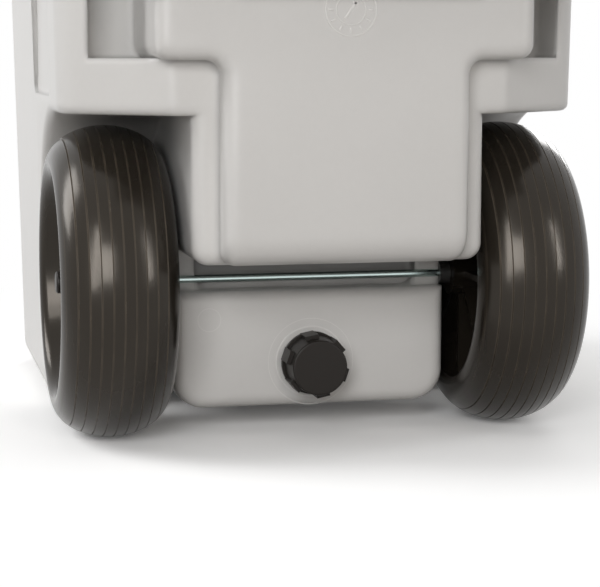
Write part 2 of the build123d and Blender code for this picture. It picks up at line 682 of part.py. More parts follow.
washer = tube(WASHER_R, AXLE_R + RUNNING_FIT, WASHER_THICK)
with BuildPart() as axle_washers:
    for side in (-1, 1):
        with Locations(facing(side * washer_x, AXLE_Y, AXLE_Z, (side, 0, 0))):
            add(washer)
save(axle_washers, "axle_washers")

with BuildPart() as push_cap:
    Cylinder(PUSH_CAP_R, PUSH_CAP_LENGTH, align=(Align.CENTER, Align.CENTER, Align.MIN))
    fillet(push_cap.edges().sort_by(Axis.Z)[-1], PUSH_CAP_END)
    Cylinder(
        AXLE_R + RUNNING_FIT,
        PUSH_CAP_LENGTH - PUSH_CAP_END + SEAT_GAP,
        align=(Align.CENTER, Align.CENTER, Align.MIN),
        mode=Mode.SUBTRACT,
    )
with BuildPart() as push_caps:
    for side in (-1, 1):
        with Locations(facing(side * push_cap_x, AXLE_Y, AXLE_Z, (side, 0, 0))):
            add(push_cap.part)
save(push_caps, "push_caps")

# Wheels: a fat drum with an elliptical tread, dished on both sides
half_wheel = WHEEL_WIDTH / 2
edge_r = WHEEL_DIA / 2 - TREAD_DROP
rim_angle = degrees(asin((OUTER_RIM_R - edge_r) / TREAD_DROP))
rim_x = half_wheel * cos(radians(rim_angle))
half_web = WEB_THICK / 2
bore_r = AXLE_R + RUNNING_FIT
groove_xs = [(index - (GROOVE_COUNT - 1) / 2) * GROOVE_PITCH for index in range(GROOVE_COUNT)]
with BuildPart() as wheel:
    with BuildSketch(Plane.XZ):
        with BuildLine():
            EllipticalCenterArc(
                (0, edge_r),
                half_wheel,
                TREAD_DROP,
                start_angle=rim_angle,
                arc_size=180 - rim_angle,
            )
            Polyline(
                (-half_wheel, edge_r),
                (-half_wheel, INNER_RIM_R),
                (-half_web, INNER_DISH_R),
                (-half_web, HUB_R),
                (-HUB_INNER_END, HUB_R),
                (-HUB_INNER_END, bore_r),
                (HUB_OUTER_END, bore_r),
                (HUB_OUTER_END, HUB_R),
                (half_web, HUB_R),
                (half_web, OUTER_DISH_R),
                (rim_x, OUTER_RIM_R),
            )
        make_face()
    revolve(axis=Axis.X)
    outer_lip = wheel.edges().filter_by(GeomType.CIRCLE).group_by(Axis.X)[-1]
    fillet(outer_lip, OUTER_LIP_R)
    inner_lip = wheel.edges().filter_by(GeomType.CIRCLE).group_by(Axis.X)[0].sort_by(SortBy.RADIUS)[0]
    fillet(inner_lip, INNER_LIP_R)
    with BuildSketch(Plane.XZ):
        for x in groove_xs:
            with Locations((x, edge_r + TREAD_DROP * sqrt(1 - (x / half_wheel) ** 2))):
                Rectangle(GROOVE_WIDTH, 2 * GROOVE_DEPTH)
    revolve(axis=Axis.X, mode=Mode.SUBTRACT)
    for top, dish_r in ((RIB_OUTER_TOP, OUTER_RIM_R), (-RIB_INNER_TOP, INNER_RIM_R)):
        reach_low = (bore_r + HUB_R) / 2
        with Locations(Plane.YZ):
            with PolarLocations((reach_low + dish_r) / 2, RIB_COUNT):
                with Locations((0, 0, top / 2)):
                    Box(dish_r - reach_low, RIB_THICK, abs(top))
with BuildPart() as right_wheel:
    with Locations((WHEEL_MID_X, AXLE_Y, AXLE_Z)):
        add(wheel.part)
save(right_wheel, "right_wheel")
with BuildPart() as left_wheel:
    add(right_wheel.part)
    mirror(about=Plane.YZ, mode=Mode.REPLACE)
save(left_wheel, "left_wheel")

# Lid: cover, inner pan with its plug, foam and gasket
with BuildPart() as lid_cover:
    add(body_outline(LID_Z, LID_OVERHANG))
    extrude(amount=LID_HEIGHT)
    fillet(lid_cover.faces().sort_by(Axis.Z)[-1].edges(), LID_EDGE_R)
    add(body_outline(LID_Z + LID_HEIGHT, LID_OVERHANG - TRAY_INSET))
    extrude(amount=-TRAY_DEPTH, mode=Mode.SUBTRACT)
    add(body_outline(LID_Z, LID_OVERHANG - LID_WALL))
    extrude(amount=LID_HEIGHT - LID_EDGE_R, mode=Mode.SUBTRACT)
    add(body_outline(LID_Z, LID_OVERHANG - LID_WALL - LID_EDGE_R))
    extrude(amount=LID_HEIGHT - LID_WALL - TRAY_DEPTH, mode=Mode.SUBTRACT)
    with Locations(*lid_leaf_spots, *bracket_spots):
        Cylinder(SCREW_R + SCREW_HOLE_GAP, 2 * (LEAF_THICK + SCREW_BITE), mode=Mode.SUBTRACT)
save(lid_cover, "lid_cover")

pan_grow = LID_OVERHANG - LID_WALL - FOAM_GAP
with BuildPart() as lid_pan:
    add(body_outline(LID_Z, pan_grow))
    extrude(amount=PAN_THICK)
    add(mouth(LID_Z - PLUG_DEPTH, -PLUG_GAP))
    extrude(amount=PLUG_DEPTH + PAN_THICK)
    add(mouth(LID_Z - PLUG_DEPTH + PAN_THICK, -PLUG_GAP - PAN_THICK))
    extrude(amount=PLUG_DEPTH + PAN_THICK, mode=Mode.SUBTRACT)
save(lid_pan, "lid_pan")

lid_foam_low = LID_Z + PAN_THICK + FOAM_GAP
with BuildPart() as lid_foam:
    add(body_outline(lid_foam_low, pan_grow - SCREW_BITE))
    extrude(amount=LID_HEIGHT - LID_EDGE_R - PAN_THICK - 2 * FOAM_GAP)
    add(body_outline(lid_foam_low, pan_grow - LID_EDGE_R))
    extrude(amount=LID_HEIGHT - LID_WALL - TRAY_DEPTH - PAN_THICK - 2 * FOAM_GAP)
    add(mouth(LID_Z - PLUG_DEPTH + PAN_THICK + FOAM_GAP, -PLUG_GAP - PAN_THICK - FOAM_GAP))
    extrude(amount=PLUG_DEPTH)
save(lid_foam, "lid_foam")

with BuildPart() as lid_gasket:
    add(mouth(RIM_Z + SEAT_GAP, GASKET_OFFSET + GASKET_WIDTH))
    extrude(amount=LID_GAP - SEAT_GAP)
    add(mouth(RIM_Z + SEAT_GAP, GASKET_OFFSET))
    extrude(amount=LID_GAP - SEAT_GAP, mode=Mode.SUBTRACT)
save(lid_gasket, "lid_gasket")

# Hinges along the +X side
knuckle_bore = HINGE_PIN_R + RUNNING_FIT
arm_inner = HINGE_MID_HALF + HINGE_SIDE_GAP
side_knuckle = HINGE_HALF_LENGTH - arm_inner
for name, y in zip(side_names, hinge_ys):
    axis_place = facing(HINGE_X, y, HINGE_Z, (0, 1, 0))
    with BuildPart() as body_leaf:
        with Locations((SIDE_SEAT, y, body_leaf_mid)):
            Box(LEAF_THICK, 2 * HINGE_HALF_LENGTH, LEAF_HEIGHT, align=TOWARDS_RIGHT)
        with Locations((SIDE_SEAT, y, body_leaf_top)):
            Box(HINGE_X - SIDE_SEAT, 2 * HINGE_MID_HALF, LEAF_ARM, align=TOWARDS_RIGHT)
        with Locations(axis_place):
            Cylinder(KNUCKLE_R, 2 * HINGE_MID_HALF)
            Cylinder(knuckle_bore, 4 * HINGE_HALF_LENGTH, mode=Mode.SUBTRACT)
        with Locations(*body_leaf_spots):
            Cylinder(SCREW_R + SCREW_HOLE_GAP, 4 * LEAF_THICK, mode=Mode.SUBTRACT)
    save(body_leaf, f"{name}_hinge_body_leaf")

    with BuildPart() as lid_leaf:
        with Locations((LID_SIDE, y, lid_leaf_mid)):
            Box(LEAF_THICK, 2 * HINGE_HALF_LENGTH, LEAF_HEIGHT, align=TOWARDS_RIGHT)
        for side in (-1, 1):
            middle = y + side * (HINGE_HALF_LENGTH + arm_inner) / 2
            with Locations((LID_SIDE, middle, lid_leaf_low)):
                Box(HINGE_X - LID_SIDE, side_knuckle, LEAF_ARM, align=TOWARDS_RIGHT)
            with Locations(facing(HINGE_X, middle, HINGE_Z, (0, 1, 0))):
                Cylinder(KNUCKLE_R, side_knuckle)
        with Locations(axis_place):
            Cylinder(knuckle_bore, 4 * HINGE_HALF_LENGTH, mode=Mode.SUBTRACT)
        with Locations(*lid_leaf_spots):
            Cylinder(SCREW_R + SCREW_HOLE_GAP, 4 * LEAF_THICK, mode=Mode.SUBTRACT)
    save(lid_leaf, f"{name}_hinge_lid_leaf")

    with BuildPart() as hinge_pin:
        with Locations(axis_place):
            Cylinder(HINGE_PIN_R, 2 * (HINGE_HALF_LENGTH + SEAT_GAP))
            for side in (-1, 1):
                with Locations((0, 0, side * (HINGE_HALF_LENGTH + SEAT_GAP + PIN_RIVET / 2))):
                    Cylinder(HINGE_PIN_R + PIN_RIVET, PIN_RIVET)
    save(hinge_pin, f"{name}_hinge_pin")

leaf_screw = screw(LEAF_THICK)
with BuildPart() as hinge_body_screws:
    with Locations(*body_leaf_spots):
        add(leaf_screw)
save(hinge_body_screws, "hinge_body_screws")
with BuildPart() as hinge_lid_screws:
    with Locations(*lid_leaf_spots):
        add(leaf_screw)
save(hinge_lid_screws, "hinge_lid_screws")

# Latches along the -X side
ear_inner = LATCH_HALF_WIDTH + EAR_GAP
ear_mid = ear_inner + LATCH_EAR_THICK / 2
lever_inner_x = LATCH_X - LATCH_THICK / 2
hook_top = keeper_mid - KEEPER_HEIGHT / 2 - SEAT_GAP
hook_tip_x = SIDE_SEAT + LEAF_THICK + EAR_GAP
lever_end_z = LATCH_PIN_Z - LATCH_LENGTH
for name, y in zip(side_names, latch_ys):
    pin_place = facing(-LATCH_X, y, LATCH_PIN_Z, (0, 1, 0))
    with BuildPart() as latch_bracket:
        with Locations((-LID_SIDE, y, LATCH_PIN_Z)):
            Box(LEAF_THICK, 2 * LATCH_BRACKET_HALF, LATCH_BRACKET_HEIGHT, align=TOWARDS_LEFT)
            for side in (-1, 1):
                with Locations((0, side * ear_mid, 0)):
                    Box(LATCH_X - LID_SIDE, LATCH_EAR_THICK, 2 * LATCH_HUB_R, align=TOWARDS_LEFT)
        for side in (-1, 1):
            with Locations(facing(-LATCH_X, y + side * ear_mid, LATCH_PIN_Z, (0, 1, 0))):
                Cylinder(LATCH_HUB_R, LATCH_EAR_THICK)
        with Locations(pin_place):
            Cylinder(LATCH_PIN_R + RUNNING_FIT, 4 * LATCH_BRACKET_HALF, mode=Mode.SUBTRACT)
        with Locations(*bracket_spots):
            Cylinder(SCREW_R + SCREW_HOLE_GAP, 4 * LEAF_THICK, mode=Mode.SUBTRACT)
    save(latch_bracket, f"{name}_latch_bracket")

    with BuildPart() as latch_pin:
        with Locations(pin_place):
            Cylinder(LATCH_PIN_R, 2 * (ear_inner + LATCH_EAR_THICK + SEAT_GAP))
            for side in (-1, 1):
                with Locations((0, 0, side * (ear_inner + LATCH_EAR_THICK + SEAT_GAP + PIN_RIVET / 2))):
                    Cylinder(LATCH_PIN_R + PIN_RIVET / 2, PIN_RIVET)
    save(latch_pin, f"{name}_latch_pin")

    with BuildPart() as latch:
        with Locations(pin_place):
            Cylinder(LATCH_HUB_R, 2 * LATCH_HALF_WIDTH)
        with Locations((-lever_inner_x, y, LATCH_PIN_Z)):
            Box(LATCH_THICK, 2 * LATCH_HALF_WIDTH, LATCH_LENGTH, align=(Align.MAX, Align.CENTER, Align.MAX))
        with Locations((-lever_inner_x, y, hook_top)):
            Box(
                lever_inner_x - hook_tip_x,
                2 * LATCH_HALF_WIDTH,
                LATCH_HOOK_HEIGHT,
                align=(Align.MIN, Align.CENTER, Align.MAX),
            )
        with Locations((-lever_inner_x, y, lever_end_z)):
            Box(
                SIDE_LIMIT - lever_inner_x,
                2 * LATCH_HALF_WIDTH,
                LATCH_TAB_HEIGHT,
                align=(Align.MAX, Align.CENTER, Align.MIN),
            )
        tab_edges = latch.edges().filter_by(Axis.X).group_by(Axis.Z)[0]
        fillet(tab_edges, LATCH_TAB_R)
        with Locations(pin_place):
            Cylinder(LATCH_PIN_R + RUNNING_FIT, 4 * LATCH_HALF_WIDTH, mode=Mode.SUBTRACT)
    save(latch, f"{name}_latch")

    with BuildPart() as latch_keeper:
        with Locations((-SIDE_SEAT, y, keeper_mid)):
            Box(LEAF_THICK, 2 * LATCH_BRACKET_HALF, LEAF_HEIGHT, align=TOWARDS_LEFT)
            Box(LEAF_THICK + KEEPER_DEPTH, 2 * KEEPER_HALF, KEEPER_HEIGHT, align=TOWARDS_LEFT)
        with Locations(*keeper_spots):
            Cylinder(SCREW_R + SCREW_HOLE_GAP, 4 * LEAF_THICK, mode=Mode.SUBTRACT)
    save(latch_keeper, f"{name}_latch_keeper")

with BuildPart() as latch_bracket_screws:
    with Locations(*bracket_spots):
        add(leaf_screw)
save(latch_bracket_screws, "latch_bracket_screws")
with BuildPart() as keeper_screws:
    with Locations(*keeper_spots):
        add(leaf_screw)
save(keeper_screws, "keeper_screws")

# Tow handle: tube bail with a grip, hung between the ears of two brackets
tow_y = behind(TOW_AXIS_REACH)
tow_low = TOW_PIVOT_Z - TOW_LENGTH
with BuildPart() as tow_bail:
    with BuildLine(end_plane(tow_y)) as bail_path:
        FilletPolyline(
            (-TOW_HALF, TOW_PIVOT_Z),
            (-TOW_HALF, tow_low),
            (TOW_HALF, tow_low),
            (TOW_HALF, TOW_PIVOT_Z),
            radius=TOW_BEND_R,
        )
    with BuildSketch(Plane(origin=(-TOW_HALF, tow_y, TOW_PIVOT_Z), z_dir=(0, 0, -1))):
        Circle(TOW_TUBE_R)
    sweep(path=bail_path.line)
    for side in (-1, 1):
        with Locations(facing(side * TOW_HALF, tow_y, TOW_PIVOT_Z, (1, 0, 0))):
            Cylinder(TOW_EYE_R, 2 * TOW_EYE_HALF)
            Cylinder(TOW_PIN_R + RUNNING_FIT, 4 * TOW_EYE_HALF, mode=Mode.SUBTRACT)
save(tow_bail, "tow_bail")

grip_tube = tube(TOW_GRIP_R, TOW_TUBE_R + RUNNING_FIT, 2 * TOW_GRIP_HALF)
with BuildPart() as tow_grip:
    with Locations(facing(-TOW_GRIP_HALF, tow_y, tow_low, (1, 0, 0))):
        add(grip_tube)
    fillet(tow_grip.edges().filter_by(GeomType.CIRCLE).group_by(SortBy.RADIUS)[-1], GRIP_EDGE_R)
save(tow_grip, "tow_grip")

tow_ear_mid = TOW_EYE_HALF + EAR_GAP + TOW_EAR_THICK / 2
tow_pin_half = TOW_EYE_HALF + EAR_GAP + TOW_EAR_THICK + SEAT_GAP
for name, side in (("left", -1), ("right", 1)):
    with BuildPart() as tow_bracket:
        with Locations((side * TOW_HALF, behind(FAR_SEAT_REACH), TOW_PIVOT_Z)):
            Box(
                2 * TOW_BASE_HALF,
                TOW_BASE_THICK,
                TOW_BASE_HEIGHT,
                align=(Align.CENTER, Align.MIN, Align.CENTER),
            )
            for ear in (-1, 1):
                with Locations((ear * tow_ear_mid, 0, 0)):
                    Box(
                        TOW_EAR_THICK,
                        TOW_AXIS_REACH - FAR_SEAT_REACH,
                        2 * TOW_EYE_R,
                        align=(Align.CENTER, Align.MIN, Align.CENTER),
                    )
        for ear in (-1, 1):
            with Locations(facing(side * TOW_HALF + ear * tow_ear_mid, tow_y, TOW_PIVOT_Z, (1, 0, 0))):
                Cylinder(TOW_EYE_R, TOW_EAR_THICK)
        with Locations(facing(side * TOW_HALF, tow_y, TOW_PIVOT_Z, (1, 0, 0))):
            Cylinder(TOW_PIN_R + RUNNING_FIT, 4 * TOW_BASE_HALF, mode=Mode.SUBTRACT)
        with Locations(*tow_spots):
            Cylinder(SCREW_R + SCREW_HOLE_GAP, 4 * TOW_BASE_THICK, mode=Mode.SUBTRACT)
    save(tow_bracket, f"{name}_tow_bracket")

    with BuildPart() as tow_pin:
        with Locations(facing(side * TOW_HALF, tow_y, TOW_PIVOT_Z, (1, 0, 0))):
            Cylinder(TOW_PIN_R, 2 * tow_pin_half)
            for end in (-1, 1):
                with Locations((0, 0, end * (tow_pin_half + PIN_HEAD_H / 2))):
                    Cylinder(PIN_HEAD_R, PIN_HEAD_H)
    save(tow_pin, f"{name}_tow_pin")

tow_screw = screw(TOW_BASE_THICK)
with BuildPart() as tow_bracket_screws:
    with Locations(*tow_spots):
        add(tow_screw)
save(tow_bracket_screws, "tow_bracket_screws")

# Lift handle: bail with a sleeve, turning on two shoulder pins in the pad's sides
lift_grip_y = ahead(LIFT_GRIP_REACH)
arm_low_x = PAD_HALF + LIFT_ARM_GAP
with BuildPart() as lift_bail:
    for side in (-1, 1):
        with BuildSketch(Plane(origin=(side * arm_low_x, 0, 0), x_dir=(0, side, 0), z_dir=(side, 0, 0))):
            with Locations((side * ahead(LIFT_PIVOT_REACH), LIFT_PIVOT_Z)):
                Circle(LIFT_EYE_R)
            with Locations((side * lift_grip_y, LIFT_GRIP_Z)):
                Circle(LIFT_GRIP_R)
            make_hull()
        extrude(amount=LIFT_ARM_THICK)
    with Locations(facing(0, lift_grip_y, LIFT_GRIP_Z, (1, 0, 0))):
        Cylinder(LIFT_BAR_R, 2 * arm_low_x + LIFT_ARM_THICK)
    with Locations(facing(0, ahead(LIFT_PIVOT_REACH), LIFT_PIVOT_Z, (1, 0, 0))):
        Cylinder(LIFT_PIN_R + RUNNING_FIT, 4 * arm_low_x, mode=Mode.SUBTRACT)
save(lift_bail, "lift_bail")

sleeve = tube(LIFT_GRIP_R, LIFT_BAR_R + RUNNING_FIT, 2 * LIFT_GRIP_HALF)
with BuildPart() as lift_grip:
    with Locations(facing(-LIFT_GRIP_HALF, lift_grip_y, LIFT_GRIP_Z, (1, 0, 0))):
        add(sleeve)
    fillet(lift_grip.edges().filter_by(GeomType.CIRCLE).group_by(SortBy.RADIUS)[-1], GRIP_EDGE_R)
save(lift_grip, "lift_grip")

lift_pin_length = LIFT_PIN_BITE + LIFT_ARM_GAP + LIFT_ARM_THICK + SEAT_GAP
with BuildPart() as lift_pins:
    for side in (-1, 1):
        pin_x = side * (PAD_HALF - LIFT_PIN_BITE)
        with Locations(facing(pin_x, ahead(LIFT_PIVOT_REACH), LIFT_PIVOT_Z, (side, 0, 0))):
            Cylinder(LIFT_PIN_R, lift_pin_length, align=(Align.CENTER, Align.CENTER, Align.MIN))
            with Locations((0, 0, lift_pin_length)):
                Cylinder(PIN_HEAD_R, PIN_HEAD_H, align=(Align.CENTER, Align.CENTER, Align.MIN))
save(lift_pins, "lift_pins")

# Foot pads with their screws
for name, side in (("left", -1), ("right", 1)):
    with BuildPart() as foot_pad:
        with Locations((side * FOOT_HALF_SPREAD, behind(FOOT_REACH), 0)):
            Cylinder(FOOT_R, BODY_FLOOR_Z, align=(Align.CENTER, Align.CENTER, Align.MIN))
        fillet(foot_pad.edges().group_by(Axis.Z)[0], FOOT_EDGE_R)
        with Locations((side * FOOT_HALF_SPREAD, behind(FOOT_REACH), 0)):
            Cylinder(
                SCREW_HEAD_R + SEAT_GAP,
                FOOT_RECESS_DEPTH,
                align=(Align.CENTER, Align.CENTER, Align.MIN),
                mode=Mode.SUBTRACT,
            )
            Cylinder(SCREW_R + SCREW_HOLE_GAP, 4 * BODY_FLOOR_Z, mode=Mode.SUBTRACT)
    save(foot_pad, f"{name}_foot_pad")

foot_screw = screw(FOOT_GRIP)
with BuildPart() as foot_screws:
    with Locations(*foot_spots):
        add(foot_screw)
save(foot_screws, "foot_screws")
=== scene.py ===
"""Wheeled cooler: finishes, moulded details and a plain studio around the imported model."""

from math import cos, pi, radians, sin
from typing import NamedTuple

import bpy
from bpy.props import FloatProperty, FloatVectorProperty, IntProperty, PointerProperty
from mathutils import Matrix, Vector


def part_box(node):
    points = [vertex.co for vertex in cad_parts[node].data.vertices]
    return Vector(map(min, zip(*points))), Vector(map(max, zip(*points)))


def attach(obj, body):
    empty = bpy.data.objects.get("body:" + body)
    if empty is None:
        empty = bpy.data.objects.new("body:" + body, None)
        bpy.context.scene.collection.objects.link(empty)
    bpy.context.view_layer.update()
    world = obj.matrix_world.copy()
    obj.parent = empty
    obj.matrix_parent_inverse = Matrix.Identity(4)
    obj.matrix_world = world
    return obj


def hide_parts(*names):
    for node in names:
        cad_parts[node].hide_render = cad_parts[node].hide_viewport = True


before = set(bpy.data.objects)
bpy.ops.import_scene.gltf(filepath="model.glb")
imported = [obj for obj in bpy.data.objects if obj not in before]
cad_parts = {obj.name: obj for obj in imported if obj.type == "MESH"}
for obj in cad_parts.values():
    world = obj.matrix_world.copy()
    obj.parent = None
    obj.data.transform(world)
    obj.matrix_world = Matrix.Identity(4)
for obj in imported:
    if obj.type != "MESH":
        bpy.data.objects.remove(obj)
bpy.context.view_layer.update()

bl_info = {
    "name": "Wheeled Cooler",
    "version": (1, 0, 0),
    "blender": (4, 5, 0),
    "location": "View3D > Sidebar > Cooler",
    "description": "Finishes and moulded details for a wheeled cooler",
    "category": "Object",
}

MM = 0.001
SHELL_LOW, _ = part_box("outer_shell")
CAP_LOW, CAP_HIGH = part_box("drain_cap")
AXLE_LOW, AXLE_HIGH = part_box("axle_rod")
DRAIN_MIDDLE = (CAP_LOW + CAP_HIGH) / 2
AXLE_MIDDLE = (AXLE_LOW + AXLE_HIGH) / 2

# Which finish each carried-over node wears; the scene's own pieces take theirs by name
SCENE_ONLY = ()
LID_NODES = ("lid_cover",)
LINER_NODES = ("inner_liner", "lid_pan")
FOAM_NODES = ("insulation_foam", "lid_foam")
WHEEL_NODES = ("left_wheel", "right_wheel")
CAP_NODES = ("drain_cap", "drain_nut", "push_caps")
BLACK_NODES = (
    "axle_spacers", "front_latch", "rear_latch", "front_latch_bracket", "rear_latch_bracket",
    "front_latch_keeper", "rear_latch_keeper", "left_tow_bracket", "right_tow_bracket", "lift_bail",
    "left_foot_pad", "right_foot_pad",
)
LEAF_NODES = (
    "drain_spout", "front_hinge_body_leaf", "rear_hinge_body_leaf",
    "front_hinge_lid_leaf", "rear_hinge_lid_leaf",
)
RUBBER_NODES = ("drain_seal", "drain_cap_washer", "lid_gasket")
ROD_NODES = ("axle_rod",)
ZINC_NODES = (
    "axle_washers", "front_hinge_pin", "rear_hinge_pin", "hinge_body_screws",
    "hinge_lid_screws", "front_latch_pin", "rear_latch_pin", "latch_bracket_screws", "keeper_screws",
    "left_tow_pin", "right_tow_pin", "tow_bracket_screws", "lift_pins", "foot_screws",
)
TUBE_NODES = ("tow_bail",)

# Roughness noise averages about a half, so finishes start below their named roughness
ROUGH_DROP = 0.06

# Painted shade in the axle slot: from none to full, measured from the middle of the rod
SLOT_SHADE_MOUTH = (-18 * MM, -8 * MM)
SLOT_SHADE_BACK = (22 * MM, 18 * MM)
SLOT_SHADE_FLOOR = (-16 * MM, 25 * MM)
SLOT_SHADE_ROOF = (27 * MM, 25 * MM)
SLOT_SHADE_SIDE = (95 * MM, 94 * MM)
SLOT_SHADE_SHARE = 0.22

# Wheels: the tread's middle along X, its radii, its grooves, the painted highlight on the groove lips and the
# mould's rings
TREAD_MIDDLE_X = 167 * MM
TREAD_START = 104 * MM
TREAD_FULL = 112 * MM
LANES_BEFORE = 20.5  # keeps the count of lanes positive, with a groove in the middle of each
LIP_HIGHLIGHT_FADE = 0.45 * MM
LIP_HIGHLIGHT = 1.3
LIP_HIGHLIGHT_SHARE = 4.5
RINGS_ACROSS = 900.0
RINGS_OUTWARD = 260.0

# Meshes: points closer than a gap are one, and edges flatter than an angle look smooth
MERGE_GAP = 0.01 * MM
WELD_GAP = 0.02 * MM
SKIN_ANGLE = radians(30)
GRIP_ANGLE = radians(35)
RELIEF_ANGLE = radians(40)
RING_SIDES = 96
RING_ROUND = 0.45
BAR_ROUND = 0.3
ROUND_STEPS = 2

# Grips: node, body and bore, the end's chamfer, and a rib as shares of its pitch that end on top or not
GRIPS = (("tow_grip", "tow_handle", 8.05 * MM), ("lift_grip", "lift_handle", 9.05 * MM))
GRIP_SIDES = 48
GRIP_CHAMFER = 0.8 * MM
RIB_PROFILE = ((0.24, False), (0.16, True), (0.44, True), (0.16, False))

# Mould dial, in shares of its radius
DIAL_EDGE = 0.06
INNER_RADIUS, INNER_EDGE = 0.58, 0.05
TICK_PLACE, TICK_WIDTH, TICK_LENGTH = 0.79, 0.075, 0.2
POINTER_WIDTH, POINTER_LENGTH = 0.1, 0.8
TIP_PLACE, TIP_WIDTH, TIP_LENGTH = 0.3, 0.26, 0.1
POINTER_TURN = radians(35)

# Drain panel: the outer ring and the pin mark in shares of the ring and the relief, and the mark's place
OUTER_RADIUS, OUTER_WIDTH, OUTER_RELIEF = 1.24, 0.4, 0.3
MARK_RELIEF = 0.5
MARK_X, MARK_Z = -85 * MM, 95 * MM

# Studio
WHITE = (1.0, 1.0, 1.0)
FLOOR_SIZE = 30.0
LAMP_AIM = Vector((0.0, 0.0, 0.2))


class Lamp(NamedTuple):
    """Soft lamp: it lights matt surfaces, shines in glossy ones or does both."""

    name: str
    place: tuple
    size: tuple
    power: float
    tint: tuple = WHITE
    lights: bool = True
    shines: bool = True


LAMPS = (
    Lamp("left_lamp", place=(-2.0, 0.5, 1.5), size=(1.0, 1.5), power=37.0),
    Lamp("top_lamp", place=(0.0, -1.0, 2.4), size=(1.6, 1.2), power=6.0, shines=False),
    Lamp("front_lamp", place=(-0.95, -2.5, 0.95), size=(0.95, 1.1), power=33.0),
    Lamp("right_lamp", place=(2.4, -0.2, 0.95), size=(0.4, 1.0), power=9.0, shines=False),
    Lamp(
        "fill_lamp", place=(0.3, -2.6, 0.8), size=(0.5, 0.8), power=9.5, tint=(1.0, 0.95, 0.9), shines=False
    ),
    Lamp("left_strip", place=(-1.75, -2.4, 1.2), size=(0.3, 2.2), power=30.0, lights=False),
    Lamp("right_strip", place=(1.9, -2.3, 1.2), size=(0.12, 1.6), power=22.0, lights=False),
    Lamp("back_lamp", place=(1.5, 2.5, 1.3), size=(1.4, 1.4), power=34.0),
)


def colour(name, description, default):
    """A colour that the panel shows as a swatch."""
    return FloatVectorProperty(
        name=name, description=description, subtype="COLOR", size=3, min=0.0, max=1.0, default=default
    )


def length(name, description, default):
    """A length in metres."""
    return FloatProperty(name=name, description=description, unit="LENGTH", default=default, precision=5)


class CoolerColours(bpy.types.PropertyGroup):
    """Colours of the cooler's finishes."""

    shell: colour("Shell", "Light grey moulded plastic", (0.585, 0.575, 0.560))
    liner: colour("Liner", "White food-safe plastic", (0.78, 0.78, 0.76))
    foam: colour("Foam", "Rigid insulation", (0.72, 0.62, 0.36))
    wheel: colour("Wheels", "Dark brown-black plastic", (0.0145, 0.0118, 0.0088))
    cap: colour("Drain cap", "Black moulded plastic", (0.0125, 0.0098, 0.0078))
    black: colour("Fittings", "Black moulded plastic", (0.022, 0.021, 0.020))
    leaf: colour("Hinges", "Mid grey plastic", (0.27, 0.27, 0.265))
    rubber: colour("Rubber", "Soft black rubber", (0.018, 0.018, 0.018))
    zinc: colour("Zinc", "Bright zinc plating", (0.66, 0.69, 0.68))
    rod: colour("Axle rod", "Zinc with a blue-green passivation", (0.60, 0.72, 0.70))
    tube: colour("Tube", "Drawn aluminium", (0.70, 0.70, 0.70))


class CoolerSizes(bpy.types.PropertyGroup):
    """Sizes of the moulded details."""

    dial_radius: length("Dial radius", "Mould dial on the end pad", 19.5 * MM)
    dial_height: length("Dial height", "Middle of the mould dial above the floor", 344 * MM)
    dial_relief: length("Dial relief", "How far the dial stands out", 0.5 * MM)
    dial_ticks: IntProperty(name="Dial ticks", description="Marks round the mould dial", default=12)
    ring_radius: length("Drain ring radius", "Raised ring round the drain", 29 * MM)
    ring_width: length("Drain ring width", "Width of the raised ring", 1.4 * MM)
    mark_radius: length("Pin mark radius", "Round mark left by the mould", 9.5 * MM)
    mark_width: length("Pin mark width", "Width of the round mark's edge", 0.5 * MM)
    relief: length("Fine relief", "How far the fine rings stand out", 0.24 * MM)
    seam_height: length("Level joint", "Height of the level joint in the shell's walls", 272 * MM)
    seam_place: length("Upright joint", "Place along Y of the upright joint in the shell's walls", 2.95 * MM)
    rib_pitch: length("Grip rib pitch", "Distance between the ribs of a grip", 5.6 * MM)
    rib_rise: length("Grip rib rise", "Height of a grip's ribs", 0.9 * MM)
    groove_pitch: length("Groove pitch", "Distance between the tread's grooves", 8.6 * MM)
    # Where the painted highlight on a groove's lip starts
    groove_lip: length("Groove lip", "From the middle of a groove to its worn lip", 0.5 * MM)


class CoolerStudio(bpy.types.PropertyGroup):
    """Camera, floor and even light."""

    eye: FloatVectorProperty(
        name="Camera place", description="Where the camera stands", subtype="TRANSLATION", unit="LENGTH",
        size=3, default=(-0.349, -1.69905, 0.316),
    )
    heading: FloatProperty(
        name="Heading", description="Turn of the camera about the vertical", subtype="ANGLE",
        default=radians(-12.56),
    )
    tilt: FloatProperty(
        name="Tilt", description="How far the camera looks down", subtype="ANGLE", default=radians(7.37)
    )
    lens: FloatProperty(name="Lens", description="Focal length in millimetres", default=115.44)
    sensor: FloatProperty(name="Sensor", description="Width of the sensor in millimetres", default=36.0)
    shift: FloatVectorProperty(
        name="Lens shift", description="Shift of the picture to the side and up, in shares of its width",
        size=2, default=(-0.005, 0.005),
    )
    floor_shade: FloatVectorProperty(
        name="Floor", description="Shade of the floor, bright enough to look white where it is lit",
        size=3, default=(1.25, 1.25, 1.25),
    )
    floor_bounce: colour("Floor bounce", "Shade of the light that the floor throws back", (0.42, 0.405, 0.39))
    floor_near: length("Shaded floor", "Up to here the floor shows its own shade", 0.15)
    floor_far: length("White floor", "From here on the floor is plain white", 0.85)
    floor_lift: FloatProperty(
        name="Floor lift", description="Least share of white in the floor", default=0.04
    )
    sky: FloatProperty(name="Sky", description="Strength of the even light from all round", default=0.15)
    air: colour("Air", "Tint of the even light", (1.0, 0.975, 0.95))


